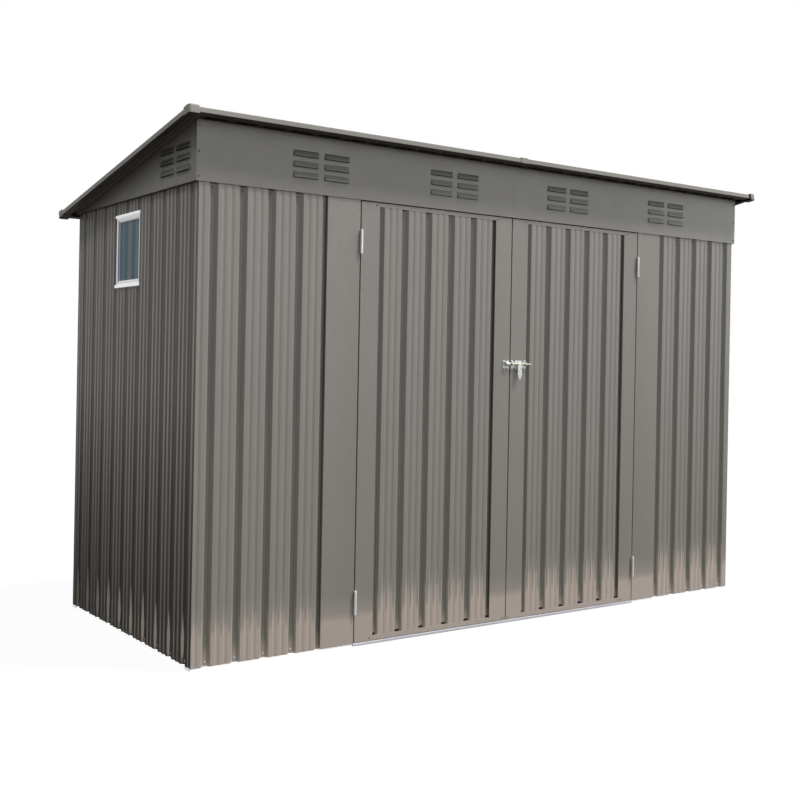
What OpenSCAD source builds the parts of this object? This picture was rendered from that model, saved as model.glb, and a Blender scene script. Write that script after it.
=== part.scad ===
// Lean-to metal storage shed: corrugated steel walls on a base frame,
// a single-slope roof with edge trims, a louvred fascia over a pair of
// hinged doors, a side window and a sliding barrel bolt.
// Units are millimetres. +Z is up, the doors face -Y, and the origin is at
// the bottom centre of the whole shed.

/* [Body] */
// Width of the walls, outside, along the front
body_w = 2870; // [2760:5:3000]
// Depth of the walls, outside, front to back
body_d = 1158; // [1100:1:1200]
// Height of the wall panels above the ground
wall_top = 1684; // [1640:1:1760]
// Thickness of the folded sheet
sheet_t = 0.8; // [0.6:0.1:1.2]

/* [Corrugation] */
// Distance between neighbouring grooves
pitch = 115; // [112:1:118]
// Width of a groove at the surface
groove_w = 35; // [30:1:38]
// Width of a groove at its floor
groove_floor = 17; // [12:1:20]
// Depth of a groove
groove_d = 9; // [7:0.5:11]
// Width of the shallow beads on each crown
bead_w = 22; // [14:1:24]
// Depth of the beads
bead_d = 1.8; // [1:0.1:2.5]
// Distance between the two beads of a crown
bead_gap = 31; // [28:1:34]

/* [Roof] */
// Slope of the roof in degrees
roof_deg = 10.33; // [9:0.01:10.5]
// Height of the roof's front top edge above the ground
roof_front_z = 1921.9; // [1910:0.1:1960]
// How far the roof reaches past the front wall
over_front = 70; // [60:1:80]
// How far the roof reaches past the back wall
over_back = 52; // [45:1:60]
// How far the roof reaches past each side wall
over_side = 77.5; // [70:0.5:85]
// Height of the edge trim
trim_h = 20; // [19:1:24]
// How far the edge trim reaches over the roof sheet
trim_d = 28; // [24:1:34]

/* [Doors] */
// Distance from the shed's corner to the door's outer seam
door_seam = 674; // [660:1:690]
// Gap around the doors
door_gap = 5; // [5:0.5:6]
// Underside of the doors above the ground
door_z0 = 15.5; // [15.5:0.5:18]
// Depth of the door's folded frame
door_depth = 20; // [16:1:22]
// Width of the hinge-side stile
stile_w = 84; // [80:1:88]
// Height of the door's bottom rail
rail_low = 17; // [12:1:20]
// Height of the door's top rail
rail_top = 13; // [12:1:20]

/* [Hinges] */
// Radius of a hinge barrel
barrel_r = 5.5; // [5:0.1:5.8]
// Length of a hinge barrel
barrel_l = 90; // [70:1:110]
// Height of the lower hinge's centre
hinge_low = 165; // [120:1:220]
// Height of the upper hinge's centre
hinge_high = 1526.5; // [1450:0.5:1560]

/* [Latch] */
// Height of the bolt's axis
bolt_z = 1076; // [900:1:1200]
// Radius of the bolt
bolt_r = 4; // [3.5:0.1:4.2]

/* [Window] */
// Distance from the front wall to the window's near edge
win_y = 500; // [480:1:520]
// Width of the window frame
win_w = 228; // [220:1:240]
// Height of the window frame's underside
win_z = 1360; // [1300:1:1380]
// Height of the window frame
win_h = 264; // [250:1:270]

/* [Hidden] */
$fn = 48;

t = sheet_t;
hw = body_w / 2;
// Front and back wall planes; the roof's overhangs set the centre of the box.
// The caps lean with the roof, which moves that centre back a little.
cap_rise = 8;        // top of the corner caps above the top of the trims
lean = (trim_h + 6 - cap_rise) * sin(roof_deg) / 2;
yf = -(body_d + over_front + over_back) / 2 + over_front + lean;
yb = yf + body_d;
rail_lip = 8;        // height of the base rail's outer lip
panel_z0 = 10;       // underside of the wall panels
panel_h = wall_top - panel_z0;
seam_x = hw - door_seam;            // outer door seam, measured from the centre
jamb_w = 149;                       // flat strip beside each door
door_z1 = wall_top - 6;             // top of the doors
door_x0 = -seam_x + door_gap / 2;   // left door, hinge edge
door_x1 = -3;                       // left door, free edge
stile2_w = 86;                      // stile at the free edge
hinge_y = yf - 7;                   // hinge axis, proud of the door's face
bolt_y = yf - t - 7.6;              // bolt axis, proud of the door's face
roof_len = (body_d + over_front + over_back) / cos(roof_deg);
cap_out = 2.5;                      // how far a corner cap stands out past the trim
sheet_drop = 3;                     // crown of the roof sheet under the trim's top
slope = tan(roof_deg);
first_groove = 58;                  // first groove, from the left corner
right_groove = 525.5;               // first groove of the right panel, from its own corner, inwards
steel = [0.50, 0.49, 0.47];
galv = [0.80, 0.82, 0.84];

// ---------- corrugated sheet ----------
function groove_at(c) = [[c - groove_w/2, 0], [c - groove_floor/2, groove_d],
                         [c + groove_floor/2, groove_d], [c + groove_w/2, 0]];
function bead_at(c) = [[c - bead_w/2, 0], [c - bead_w/6, bead_d], [c + bead_w/6, bead_d], [c + bead_w/2, 0]];
// one pitch of features that lie wholly between a and b
function features(a, b, c) =
    let (m = c + pitch/2)
    concat((c - groove_w/2 > a + 1 && c + groove_w/2 < b - 1) ? groove_at(c) : [],
           (m - bead_gap/2 - bead_w/2 > a + 1 && m - bead_gap/2 + bead_w/2 < b - 1) ? bead_at(m - bead_gap/2) : [],
           (m + bead_gap/2 - bead_w/2 > a + 1 && m + bead_gap/2 + bead_w/2 < b - 1) ? bead_at(m + bead_gap/2) : []);
// outer line of a sheet from a to b whose grooves sit at c0 + k * pitch
function sheet_line(a, b, c0) =
    let (k0 = floor((a - c0) / pitch) - 1, k1 = ceil((b - c0) / pitch) + 1)
    concat([[a, 0]], [for (k = [k0:k1]) each features(a, b, c0 + k * pitch)], [[b, 0]]);
module sheet_2d(a, b, c0) {
    line = sheet_line(a, b, c0);
    n = len(line);
    polygon(concat(line, [for (i = [n-1:-1:0]) [line[i][0], line[i][1] + t]]));
}
module sheet(a, b, c0, h) linear_extrude(height = h) sheet_2d(a, b, c0);

// ---------- helpers ----------
module mirror_x() { children(); mirror([1, 0, 0]) children(); }
// extrude a (y, z) section along x from x0 to x1
module along_x(x0, x1) translate([x0, 0, 0]) rotate([90, 0, 90]) linear_extrude(height = x1 - x0) children();
// extrude a (x, z) section along y from y0 to y1
module along_y(y0, y1) translate([0, y1, 0]) rotate([90, 0, 0]) linear_extrude(height = y1 - y0) children();
// roof frame: origin on the front top edge, y runs down the slope, z is normal to it
module on_roof() translate([0, yf - over_front, roof_front_z]) rotate([-roof_deg, 0, 0]) children();
// open channel: back at 0, mouth towards +x, top at 0, hanging down
function channel(d, h, c, w) = [[d, 0], [c, 0], [0, -c], [0, -h + c], [c, -h], [d, -h],
                                [d, -h + w], [c, -h + w], [w, -h + c], [w, -c], [c, -w], [d, -w]];

// ---------- base ----------
// lip under the panels, upright behind them, flat foot inside
module base_section(up = 40) polygon([[0.5, 0], [50, 0], [50, 1.5], [13, 1.5], [13, up], [11.5, up], [11.5, rail_lip], [0.5, rail_lip]]);
module base_rail_front() color(galv) {
    translate([0, yf, 0]) mirror_x() along_x(seam_x + 4.5, hw - 52) base_section();
    translate([0, yf, 0]) base_corner();
}
// end of a rail, low inside so that the corner post stands on it
module base_corner() mirror_x() {
    along_x(hw - 52, hw - 0.5) polygon([[0.5, 0], [50, 0], [50, 1.5], [11.5, 1.5], [11.5, rail_lip], [0.5, rail_lip]]);
    translate([hw - 11.5, 10, 0]) cube([11, 40, rail_lip]);
}
module base_rail_back() color(galv) mirror([0, 1, 0]) {
    translate([0, -yb, 0]) along_x(-hw + 52, hw - 52) base_section();
    translate([0, -yb, 0]) base_corner();
}
module base_rail_sides() color(galv) mirror_x()
    translate([-hw, 0, 0]) along_y(yf + 52, yb - 52) base_section();
// low stretch of the base in the doorway, with the foot inside and a rounded tread
module door_threshold() color(galv)
    translate([0, yf, 0]) along_x(-seam_x - 4, seam_x + 4)
        polygon([[-1.5, 3], [0.5, 1.5], [0.5, 0], [50, 0], [50, 1.5], [38, 1.5], [38, 8.5], [34, 9.9], [5, 9.9], [0.5, 9.3], [-1.5, 7.5]]);

// ---------- frame ----------
module angle_2d(a, w) polygon([[0, 0], [a, 0], [a, w], [w, w], [w, a], [0, a]]);
module corner_posts_front() color(galv) mirror_x()
    translate([-hw + 12, yf + 12, 1.5]) linear_extrude(height = wall_top - 6) angle_2d(34, 1.5);
module corner_posts_back() color(galv) mirror_x()
    translate([-hw + 12, yb - 12, 1.5]) mirror([0, 1, 0]) linear_extrude(height = wall_top - 6) angle_2d(34, 1.5);
module door_post_solid() translate([-seam_x - 4, yf + 13.2, 1.5])
    linear_extrude(height = wall_top - 43)
        polygon([[0, 0], [0, 36], [-40, 36], [-40, 0], [-38.5, 0], [-38.5, 34.5], [-1.5, 34.5], [-1.5, 0]]);
module door_post_left() color(galv) door_post_solid();
module door_post_right() color(galv) mirror([1, 0, 0]) door_post_solid();
// rail over the doorway, behind the doors
module door_header() color(galv)
    translate([0, yf, 0]) along_x(-hw + 50, hw - 50)
        polygon([[50, wall_top - 40], [78, wall_top - 40], [78, wall_top - 38.5], [51.5, wall_top - 38.5], [51.5, wall_top - 1.5], [78, wall_top - 1.5], [78, wall_top], [50, wall_top]]);
module top_rail_section() polygon([[11.5, wall_top - 40], [13, wall_top - 40], [13, wall_top - 2], [40, wall_top - 2], [40, wall_top - 0.5], [11.5, wall_top - 0.5]]);
module top_rail_back() color(galv) mirror([0, 1, 0]) translate([0, -yb, 0]) along_x(-hw + 50, hw - 50)
    polygon([[11.5, wall_top - 40], [13, wall_top - 40], [13, wall_top - 3], [34, wall_top - 3], [34, wall_top - 1.5], [11.5, wall_top - 1.5]]);
module top_rail_sides() color(galv) mirror_x() translate([-hw, 0, 0]) along_y(yf + 82, yb - 50) top_rail_section();

// ---------- walls ----------
module wall_front_left() color(steel) translate([-hw, yf, panel_z0]) sheet(t, door_seam - 60, first_groove, panel_h);
module wall_front_right() color(steel) translate([hw - door_seam + 60, yf, panel_z0])
    sheet(0, door_seam - 60 - t, door_seam - 60 - 51.5 - 4 * pitch, panel_h);
// a side sheet starts behind the front sheet
module side_sheet() sheet(t + 0.1, body_d - t - 0.1, (body_d - 9 * pitch) / 2, panel_h);
module wall_left() color(steel) difference() {
    translate([-hw, yb, panel_z0]) rotate([0, 0, -90]) side_sheet();
    translate([-hw - 5, yf + win_y + 3, win_z + 3]) cube([30, win_w - 6, win_h - 6]);
}
module wall_right() color(steel) translate([hw, yf, panel_z0]) rotate([0, 0, 90]) side_sheet();
module wall_back() color(steel) translate([hw, yb, panel_z0]) rotate([0, 0, 180]) sheet(t, body_w - t, body_w - first_groove - 24 * pitch, panel_h);

// flat strip beside the door with a return along the opening
module door_jamb_left() color(steel) union() {
    translate([-seam_x - door_gap/2 - jamb_w + 2.5, yf - t, panel_z0]) cube([jamb_w - 2.5, t, panel_h - 0.5]);
    translate([-seam_x - door_gap/2 - t, yf - t, panel_z0]) cube([t, 50, panel_h - 0.5]);
}
module door_jamb_right() color(steel) mirror([1, 0, 0]) door_jamb_left();

// ---------- louvred fascia and gables ----------
fas_out = 5;          // fascia in front of the wall
gab_out = 13.5;       // gable outside the wall
louv_l = 110; louv_h = 21; louv_out = 8; louv_step = 38.5; louv_gap = 24;
// hood of one louvre: x along its length, -y outwards, open at the bottom
module louvre() {
    along_x(0, louv_l) polygon([[0.4, louv_h], [-louv_out, 0], [-louv_out + 0.9, 0], [0.4, louv_h - 2.4]]);
    for (x = [0, louv_l - t]) along_x(x, x + t) polygon([[0.4, louv_h], [-louv_out, 0], [0.4, 0]]);
}
module louvre_slot() translate([t, -5, 0]) cube([louv_l - 2*t, 10, louv_h - 2.5]);
// two columns of three louvres, centred on x, lowest row at z
module vent_hoods() for (c = [-louv_l - louv_gap/2, louv_gap/2], r = [0:2]) translate([c, 0, r * louv_step]) louvre();
module vent_slots() for (c = [-louv_l - louv_gap/2, louv_gap/2], r = [0:2]) translate([c, 0, r * louv_step]) louvre_slot();

fas_top = roof_front_z - slope * (over_front - fas_out) - (sheet_drop + groove_d + t + 1) / cos(roof_deg);
module fascia_solid() union() {
    difference() {
        union() {
            translate([-hw - gab_out, yf - fas_out, wall_top]) cube([hw + gab_out - 0.5, t, fas_top - wall_top]);
            // fold under the fascia
            translate([-hw - gab_out, yf - fas_out, wall_top]) cube([hw + gab_out - 0.5, fas_out + 4, t]);
            // fold at the corner
            translate([-hw - gab_out, yf - fas_out, wall_top]) cube([t, 14, fas_top - wall_top - 4]);
        }
        for (x = [-944, -314]) translate([x, yf - fas_out + t/2, wall_top + 54.5]) vent_slots();
    }
    for (x = [-944, -314]) translate([x, yf - fas_out, wall_top + 54.5]) vent_hoods();
}
module fascia_left() color(steel) fascia_solid();
module fascia_right() color(steel) mirror([1, 0, 0]) fascia_solid();

// gable: tapers to nothing at the back wall
gab_y0 = yf - fas_out + 14.3;
gab_y1 = yb - 20;
function gable_top(y) = roof_front_z - slope * (y - yf + over_front) - (sheet_drop + groove_d + t + 1) / cos(roof_deg);
module gable_solid() union() {
    difference() {
        translate([-hw - gab_out, 0, 0]) rotate([90, 0, 90]) linear_extrude(height = t)
            polygon([[gab_y0, wall_top], [gab_y1, wall_top], [gab_y1, gable_top(gab_y1)], [gab_y0, gable_top(gab_y0)]]);
        translate([-hw - gab_out + t/2, yf + 165.5, wall_top + 45]) rotate([0, 0, -90]) vent_slots();
    }
    translate([-hw - gab_out, gab_y0, wall_top]) cube([gab_out + 4, gab_y1 - gab_y0, t]);
    translate([-hw - gab_out, yf + 165.5, wall_top + 45]) rotate([0, 0, -90]) vent_hoods();
}
module gable_left() color(steel) gable_solid();
module gable_right() color(steel) mirror([1, 0, 0]) gable_solid();

// ---------- roof ----------
rx = hw + over_side - cap_out;      // outer face of the side trims
module roof_sheet_half() on_roof() translate([0, cap_out + 2, -sheet_drop]) rotate([-90, 0, 0])
    sheet(-rx + 2, -0.5, -12.5 * pitch + 2, roof_len - 2 * cap_out - 4);
module roof_sheet_left() color(steel) roof_sheet_half();
module roof_sheet_right() color(steel) mirror([1, 0, 0]) roof_sheet_half();
module roof_rafter() color(galv) on_roof() translate([0, over_front + 10, -(sheet_drop + groove_d + t + 0.3)])
    rotate([-90, 0, 0]) linear_extrude(height = roof_len - over_front - over_back - 60)
        polygon([[-22, 0], [22, 0], [22, 36], [20.5, 36], [20.5, 1.5], [-20.5, 1.5], [-20.5, 36], [-22, 36]]);
trim_c = 4;
module roof_trim_front() color(steel) on_roof() translate([0, cap_out, 0])
    along_x(-rx, rx) polygon(channel(trim_d, trim_h, trim_c, 0.9));
module roof_trim_back() color(steel) on_roof() translate([0, roof_len - cap_out, 0]) mirror([0, 1, 0])
    along_x(-rx, rx) polygon(channel(trim_d, trim_h, trim_c, 0.9));
module roof_trim_sides() color(steel) on_roof() mirror_x()
    translate([-rx, 0, 0]) along_y(cap_out + trim_d + 0.5, roof_len - cap_out - trim_d - 0.5) polygon(channel(trim_d, trim_h, trim_c, 0.9));
// sleeve round the joint in the middle of the front and back trims
module connector_2d() difference() {
    polygon([[-2.2, 2.5], [trim_d, 2.5], [trim_d, 0.3], [trim_d, 0.3], [trim_d, -trim_h - 3.5], [-2.2, -trim_h - 3.5]]);
    polygon([[-0.3, 0.3], [trim_d + 1, 0.3], [trim_d + 1, -trim_h - 0.3], [-0.3, -trim_h - 0.3]]);
}
module roof_trim_connectors() color(steel) on_roof() {
    translate([0, cap_out, 0]) along_x(-19, 19) connector_2d();
    translate([0, roof_len - cap_out, 0]) mirror([0, 1, 0]) along_x(-19, 19) connector_2d();
}
// moulded cap over each corner: an L in plan, hollow for the trims
cap_l = 42; cap_w = trim_d + cap_out + 2;
module cap_plan(o, l, w) polygon([[o, o], [l, o], [l, w], [w, w], [w, l], [o, l]]);
module corner_cap() difference() {
    translate([0, 0, -trim_h - 6]) linear_extrude(height = trim_h + 6 + cap_rise) cap_plan(0, cap_l, cap_w);
    translate([0, 0, -trim_h - 0.3]) linear_extrude(height = trim_h + 0.6) cap_plan(cap_out - 0.3, cap_l + 5, cap_w + 1);
}
module roof_corner_caps() color(steel) on_roof() mirror_x() {
    translate([-hw - over_side, 0, 0]) corner_cap();
    translate([-hw - over_side, roof_len, 0]) mirror([0, 1, 0]) corner_cap();
}

// ---------- window ----------
module window_frame() color("white") translate([-hw, yf + win_y, win_z]) {
    difference() {
        union() {
            // face and reveal
            translate([-2, 0, 0]) cube([2, win_w, win_h]);
            translate([-2, 3.5, 3.5]) cube([26, win_w - 7, win_h - 7]);
            // stepped header and sill
            translate([-5.5, -8.5, win_h]) cube([5.5, win_w + 17, 14]);
            translate([-5.5, -8.5, -12]) cube([5.5, win_w + 17, 12]);
        }
        translate([-10, 8, 11]) cube([60, win_w - 16, win_h - 22]);
    }
}
module window_glass() color([0.45, 0.58, 0.64, 0.5]) translate([-hw + 8, yf + win_y + 8.1, win_z + 11.1]) cube([3, win_w - 16.2, win_h - 22.2]);

// ---------- doors ----------
module door_sheet() translate([0, yf, door_z0 + 1.2])
    sheet(door_x0 + 1.2, door_x1 - 1.2, (door_x0 + door_x1) / 2 - 2.5 * pitch, door_z1 - door_z0 - 2.4);
module door_frame() {
    w = door_x1 - door_x0; h = door_z1 - door_z0;
    translate([door_x0, yf - t, door_z0]) difference() {
        cube([w, door_depth + t, h]);
        // open from behind, inside the folded edge
        translate([t, t, t]) cube([w - 2*t, door_depth + 5, h - 2*t]);
        // window of the frame where the corrugated sheet shows
        translate([stile_w, -5, rail_low]) cube([w - stile_w - stile2_w, 20, h - rail_low - rail_top]);
    }
}
module door_left_sheet() color(steel) door_sheet();
module door_left_frame() color(steel) door_frame();
module door_right_sheet() color(steel) mirror([1, 0, 0]) door_sheet();
module door_right_frame() color(steel) mirror([1, 0, 0]) door_frame();

// hinge: lower knuckle and pin on the frame, upper knuckle on the door
module knuckle_frame() {
    translate([-seam_x, hinge_y, -barrel_l/2]) cylinder(r = barrel_r, h = barrel_l/2 - 0.3);
    translate([-seam_x, hinge_y, -1]) cylinder(r = 3, h = barrel_l/2 - 4);
    translate([-seam_x - door_gap/2, hinge_y, -barrel_l/2]) cube([1.2, 24, barrel_l/2 - 0.3]);
}
module knuckle_door() {
    difference() {
        union() {
            translate([-seam_x, hinge_y, 0.3]) cylinder(r = barrel_r, h = barrel_l/2 - 0.3);
            translate([-seam_x + door_gap/2 - 1.2, hinge_y, 0.3]) cube([1.2, 24, barrel_l/2 - 0.3]);
        }
        translate([-seam_x, hinge_y, -1]) cylinder(r = 3.1, h = barrel_l/2 - 2);
    }
}
module hinge_frame_knuckles() color(galv) mirror_x() for (z = [hinge_low, hinge_high]) translate([0, 0, z]) knuckle_frame();
module door_left_knuckles() color(galv) for (z = [hinge_low, hinge_high]) translate([0, 0, z]) knuckle_door();
module door_right_knuckles() color(galv) mirror([1, 0, 0]) for (z = [hinge_low, hinge_high]) translate([0, 0, z]) knuckle_door();

// ---------- latch ----------
plate_t = 1.5;
keeper_r = 6;        // inside radius of the keeper's loop
handle_x = 43.5;     // middle of the handle's ring with the bolt drawn back
// strap over the bolt: half round with flat feet on the plate, from x0 to x1
module strap(x0, x1, ri) translate([x0, bolt_y, bolt_z]) rotate([0, 90, 0]) difference() {
    union() {
        cylinder(r = ri + 1.4, h = x1 - x0);
        translate([-ri - 1.4, 0, 0]) cube([2*ri + 2.8, yf - t - plate_t - bolt_y + 0.3, x1 - x0]);
    }
    translate([0, 0, -1]) cylinder(r = ri, h = x1 - x0 + 2);
    translate([-ri, 0, -1]) cube([2*ri, 5.8, x1 - x0 + 2]);
}
module latch_keeper() color(galv) union() {
    translate([-39, yf - t - plate_t, bolt_z - 22]) cube([32, plate_t, 37]);
    strap(-31, -8, keeper_r);
}
module latch_plate() color(galv) union() {
    translate([4, yf - t - plate_t, bolt_z - 22]) cube([83, plate_t, 37]);
    strap(4.5, 11, 4.4);
    strap(80, 86.5, 4.4);
}
module latch_bolt() color(galv)
    translate([3.5, bolt_y, bolt_z]) rotate([0, 90, 0]) cylinder(r = bolt_r, h = 109);
// ring on the bolt and a tapered tab hanging from it, with two holes
module latch_handle() color(galv) union() {
    translate([handle_x - 5, bolt_y, bolt_z]) rotate([0, 90, 0]) difference() {
        cylinder(r = bolt_r + 2, h = 10);
        translate([0, 0, -1]) cylinder(r = bolt_r + 0.1, h = 12);
    }
    difference() {
        translate([handle_x - 13, bolt_y - 7.5, bolt_z - 68]) rotate([90, 0, 0]) mirror([0, 0, 1])
            linear_extrude(height = 1.8) polygon([[0, 22], [0, 60], [6, 66], [20, 66], [26, 60], [26, 22], [13, 0]]);
        for (z = [33, 49]) translate([handle_x, bolt_y + 5, bolt_z - z]) rotate([90, 0, 0]) cylinder(r = 2.6, h = 20);
    }
    // neck between ring and tab
    translate([handle_x - 5, bolt_y - 6.5, bolt_z - 5]) cube([10, 1.4, 4.6]);
}

base_rail_front();
base_rail_back();
base_rail_sides();
door_threshold();
corner_posts_front();
corner_posts_back();
door_post_left();
door_post_right();
door_header();
top_rail_back();
top_rail_sides();
wall_front_left();
wall_front_right();
wall_left();
wall_right();
wall_back();
door_jamb_left();
door_jamb_right();
fascia_left();
fascia_right();
gable_left();
gable_right();
roof_sheet_left();
roof_sheet_right();
roof_rafter();
roof_trim_front();
roof_trim_back();
roof_trim_sides();
roof_trim_connectors();
roof_corner_caps();
window_frame();
window_glass();
hinge_frame_knuckles();
door_left_sheet();
door_left_frame();
door_left_knuckles();
latch_keeper();
door_right_sheet();
door_right_frame();
door_right_knuckles();
latch_plate();
latch_bolt();
latch_handle();
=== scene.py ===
import bpy, bmesh, math
from mathutils import Matrix, Vector
import mathutils.geometry as mg


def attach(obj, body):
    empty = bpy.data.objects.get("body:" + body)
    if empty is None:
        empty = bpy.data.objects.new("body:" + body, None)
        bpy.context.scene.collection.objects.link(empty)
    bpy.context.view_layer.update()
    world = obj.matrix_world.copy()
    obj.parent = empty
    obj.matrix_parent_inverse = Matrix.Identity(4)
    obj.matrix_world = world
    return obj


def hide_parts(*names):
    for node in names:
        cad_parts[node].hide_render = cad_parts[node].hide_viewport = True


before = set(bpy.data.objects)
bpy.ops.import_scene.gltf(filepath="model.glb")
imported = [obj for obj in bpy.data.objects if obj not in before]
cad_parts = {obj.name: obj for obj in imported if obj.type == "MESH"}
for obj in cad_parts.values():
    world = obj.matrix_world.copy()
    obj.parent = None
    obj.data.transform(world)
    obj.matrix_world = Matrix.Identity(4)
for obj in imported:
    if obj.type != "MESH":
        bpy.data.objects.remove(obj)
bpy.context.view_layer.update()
MM = 0.001

# ---------------------------------------------------------------- sizes (mm), the same as the part's source
HW, D = 1435.0, 1158.0
CAP_RISE = 8.0
LEAN = (26 - CAP_RISE) * math.sin(math.radians(10.33)) / 2
YF = -(D + 70 + 52) / 2 + 70 + LEAN
YB = YF + D
WALL_TOP, PANEL_Z0 = 1684.0, 10.0
PANEL_H = WALL_TOP - PANEL_Z0
T = 0.8
PITCH, GW, GF, GD = 115.0, 35.0, 17.0, 9.0
BW, BD, BG = 22.0, 2.0, 31.0
SEAM = 761.0
ROOF_DEG = math.radians(10.33)
ROOF_Z = 1921.9
OVER_F, OVER_B, OVER_S = 70.0, 52.0, 77.5
ROOF_LEN = (D + OVER_F + OVER_B) / math.cos(ROOF_DEG)
CAP_OUT, SHEET_DROP = 2.5, 3.0
TRIM_H, TRIM_D = 20.0, 28.0
DOOR_Z0, DOOR_Z1 = 15.5, WALL_TOP - 6
DX0, DX1 = -SEAM + 2.2, -2.7
STILE1, STILE2, RAIL_LOW, RAIL_TOP = 84.0, 86.0, 17.0, 13.0
HINGE_Y, BOLT_Y, BOLT_Z, HX = YF - 7, YF - T - 7.6, 1076.0, 43.5
FAS_OUT, GAB_OUT = 5.0, 13.5
LV_L, LV_H, LV_OUT, LV_STEP, LV_GAP = 110.0, 21.0, 8.0, 38.5, 24.0
WIN_Y, WIN_W, WIN_Z, WIN_H = 500.0, 228.0, 1360.0, 264.0


# ---------------------------------------------------------------- mesh helpers
def weigh_normals(me, limit):
    """Corner normals weighted by area, so flat faces shade flat and only their rounded edges turn."""
    n = [p.normal.copy() for p in me.polygons]
    w = [p.normal * p.area for p in me.polygons]
    around = [[] for _ in me.vertices]
    for p in me.polygons:
        for v in p.vertices:
            around[v].append(p.index)
    c = math.cos(limit)
    out = []
    for p in me.polygons:
        pn = n[p.index]
        for v in p.vertices:
            t = Vector((0, 0, 0))
            for q in around[v]:
                if n[q].dot(pn) > c:
                    t += w[q]
            out.append(t.normalized() if t.length > 1e-14 else pn)
    me.normals_split_custom_set(out)


def link(name, bm, mat, body, smooth=True, angle=32, replaces=()):
    me = bpy.data.meshes.new(name)
    bmesh.ops.recalc_face_normals(bm, faces=bm.faces)
    bm.to_mesh(me)
    bm.free()
    if smooth:
        for p in me.polygons:
            p.use_smooth = True
        weigh_normals(me, math.radians(max(angle, 50)))
    o = bpy.data.objects.new(name, me)
    bpy.context.scene.collection.objects.link(o)
    me.materials.append(mat)
    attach(o, body)
    if replaces:
        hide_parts(*replaces)
    return o


def fillet(pts, radii, n=4):
    """Rounds the corners of an open line of points."""
    out = [Vector(pts[0])]
    for i in range(1, len(pts) - 1):
        p, a, b = Vector(pts[i]), Vector(pts[i - 1]), Vector(pts[i + 1])
        u, v = (a - p), (b - p)
        lu, lv = u.length, v.length
        u.normalize(); v.normalize()
        r = radii[i] if isinstance(radii, (list, tuple)) else radii
        cosang = max(-1, min(1, u.dot(v)))
        ang = math.acos(cosang)
        if r <= 0 or ang > math.pi - 1e-3:
            out.append(p)
            continue
        cut = min(r / math.tan(ang / 2), lu * 0.45, lv * 0.45)
        p0, p1 = p + u * cut, p + v * cut
        for k in range(n + 1):
            t = k / n
            out.append(p0.lerp(p, t).lerp(p.lerp(p1, t), t))
    out.append(Vector(pts[-1]))
    return out


def offset(line, t):
    """Line moved by t to its left."""
    n = len(line)
    out = []
    for i in range(n):
        a = line[max(0, i - 1)]
        b = line[min(n - 1, i + 1)]
        if i in (0, n - 1):
            d = (b - a).normalized()
            m = Vector((-d.y, d.x))
            out.append(line[i] + m * t)
            continue
        d0 = (line[i] - a).normalized()
        d1 = (b - line[i]).normalized()
        m = Vector((-(d0.y + d1.y), d0.x + d1.x))
        if m.length < 1e-9:
            m = Vector((-d0.y, d0.x))
        m.normalize()
        c = max(0.35, m.dot(Vector((-d0.y, d0.x))))
        out.append(line[i] + m * (t / c))
    return out


def strip(bm, line, t, levels, place, keep=None, shift=None):
    """A folded sheet: line (s, d) thickened by t and run through the levels. keep(i, j) says which cells are there."""
    n, m = len(line), len(levels)
    back = offset(line, t)
    front_v, back_v = [], []
    for j, h in enumerate(levels):
        fr, ba = [], []
        for i in range(n):
            h1 = h + (shift(line[i], j) if shift else 0)
            fr.append(bm.verts.new(place(line[i].x, line[i].y, h1)))
            ba.append(bm.verts.new(place(back[i].x, back[i].y, h1)))
        front_v.append(fr)
        back_v.append(ba)
    k = lambda i, j: 0 <= i < n - 1 and 0 <= j < m - 1 and (keep is None or keep(i, j))
    for i in range(n - 1):
        for j in range(m - 1):
            if not k(i, j):
                continue
            bm.faces.new((front_v[j][i], front_v[j][i + 1], front_v[j + 1][i + 1], front_v[j + 1][i]))
            bm.faces.new((back_v[j][i], back_v[j + 1][i], back_v[j + 1][i + 1], back_v[j][i + 1]))
            if not k(i - 1, j):
                bm.faces.new((front_v[j][i], front_v[j + 1][i], back_v[j + 1][i], back_v[j][i]))
            if not k(i + 1, j):
                bm.faces.new((front_v[j][i + 1], back_v[j][i + 1], back_v[j + 1][i + 1], front_v[j + 1][i + 1]))
            if not k(i, j - 1):
                bm.faces.new((front_v[j][i], back_v[j][i], back_v[j][i + 1], front_v[j][i + 1]))
            if not k(i, j + 1):
                bm.faces.new((front_v[j + 1][i], front_v[j + 1][i + 1], back_v[j + 1][i + 1], back_v[j + 1][i]))
    loose = [v for v in bm.verts if not v.link_faces]
    for v in loose:
        bm.verts.remove(v)
    return bm


def box(bm, lo, hi, bevel=0.6, segs=2, mtx=None):
    """A box with rounded edges, in mm."""
    lo, hi = Vector(lo), Vector(hi)
    r = bmesh.ops.create_cube(bm, size=1.0)
    vs = r["verts"]
    for v in vs:
        v.co = Vector((lo[i] + (v.co[i] + 0.5) * (hi[i] - lo[i]) for i in range(3)))
    es = list({e for v in vs for e in v.link_edges})
    w = min(bevel, 0.45 * min(hi[i] - lo[i] for i in range(3)))
    if w > 0.01:
        res = bmesh.ops.bevel(bm, geom=es, offset=w, segments=segs, profile=0.5, affect="EDGES")
        vs = list({v for f in res["faces"] for v in f.verts} | {v for v in vs if v.is_valid})
        vs = list({v for v in vs if v.is_valid})
        # every vertex of this island
        seen, todo = set(), [vs[0]]
        while todo:
            v = todo.pop()
            if v in seen:
                continue
            seen.add(v)
            todo += [e.other_vert(v) for e in v.link_edges]
        vs = list(seen)
    for v in vs:
        v.co = (mtx @ v.co if mtx else v.co) * MM
    return vs


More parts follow.
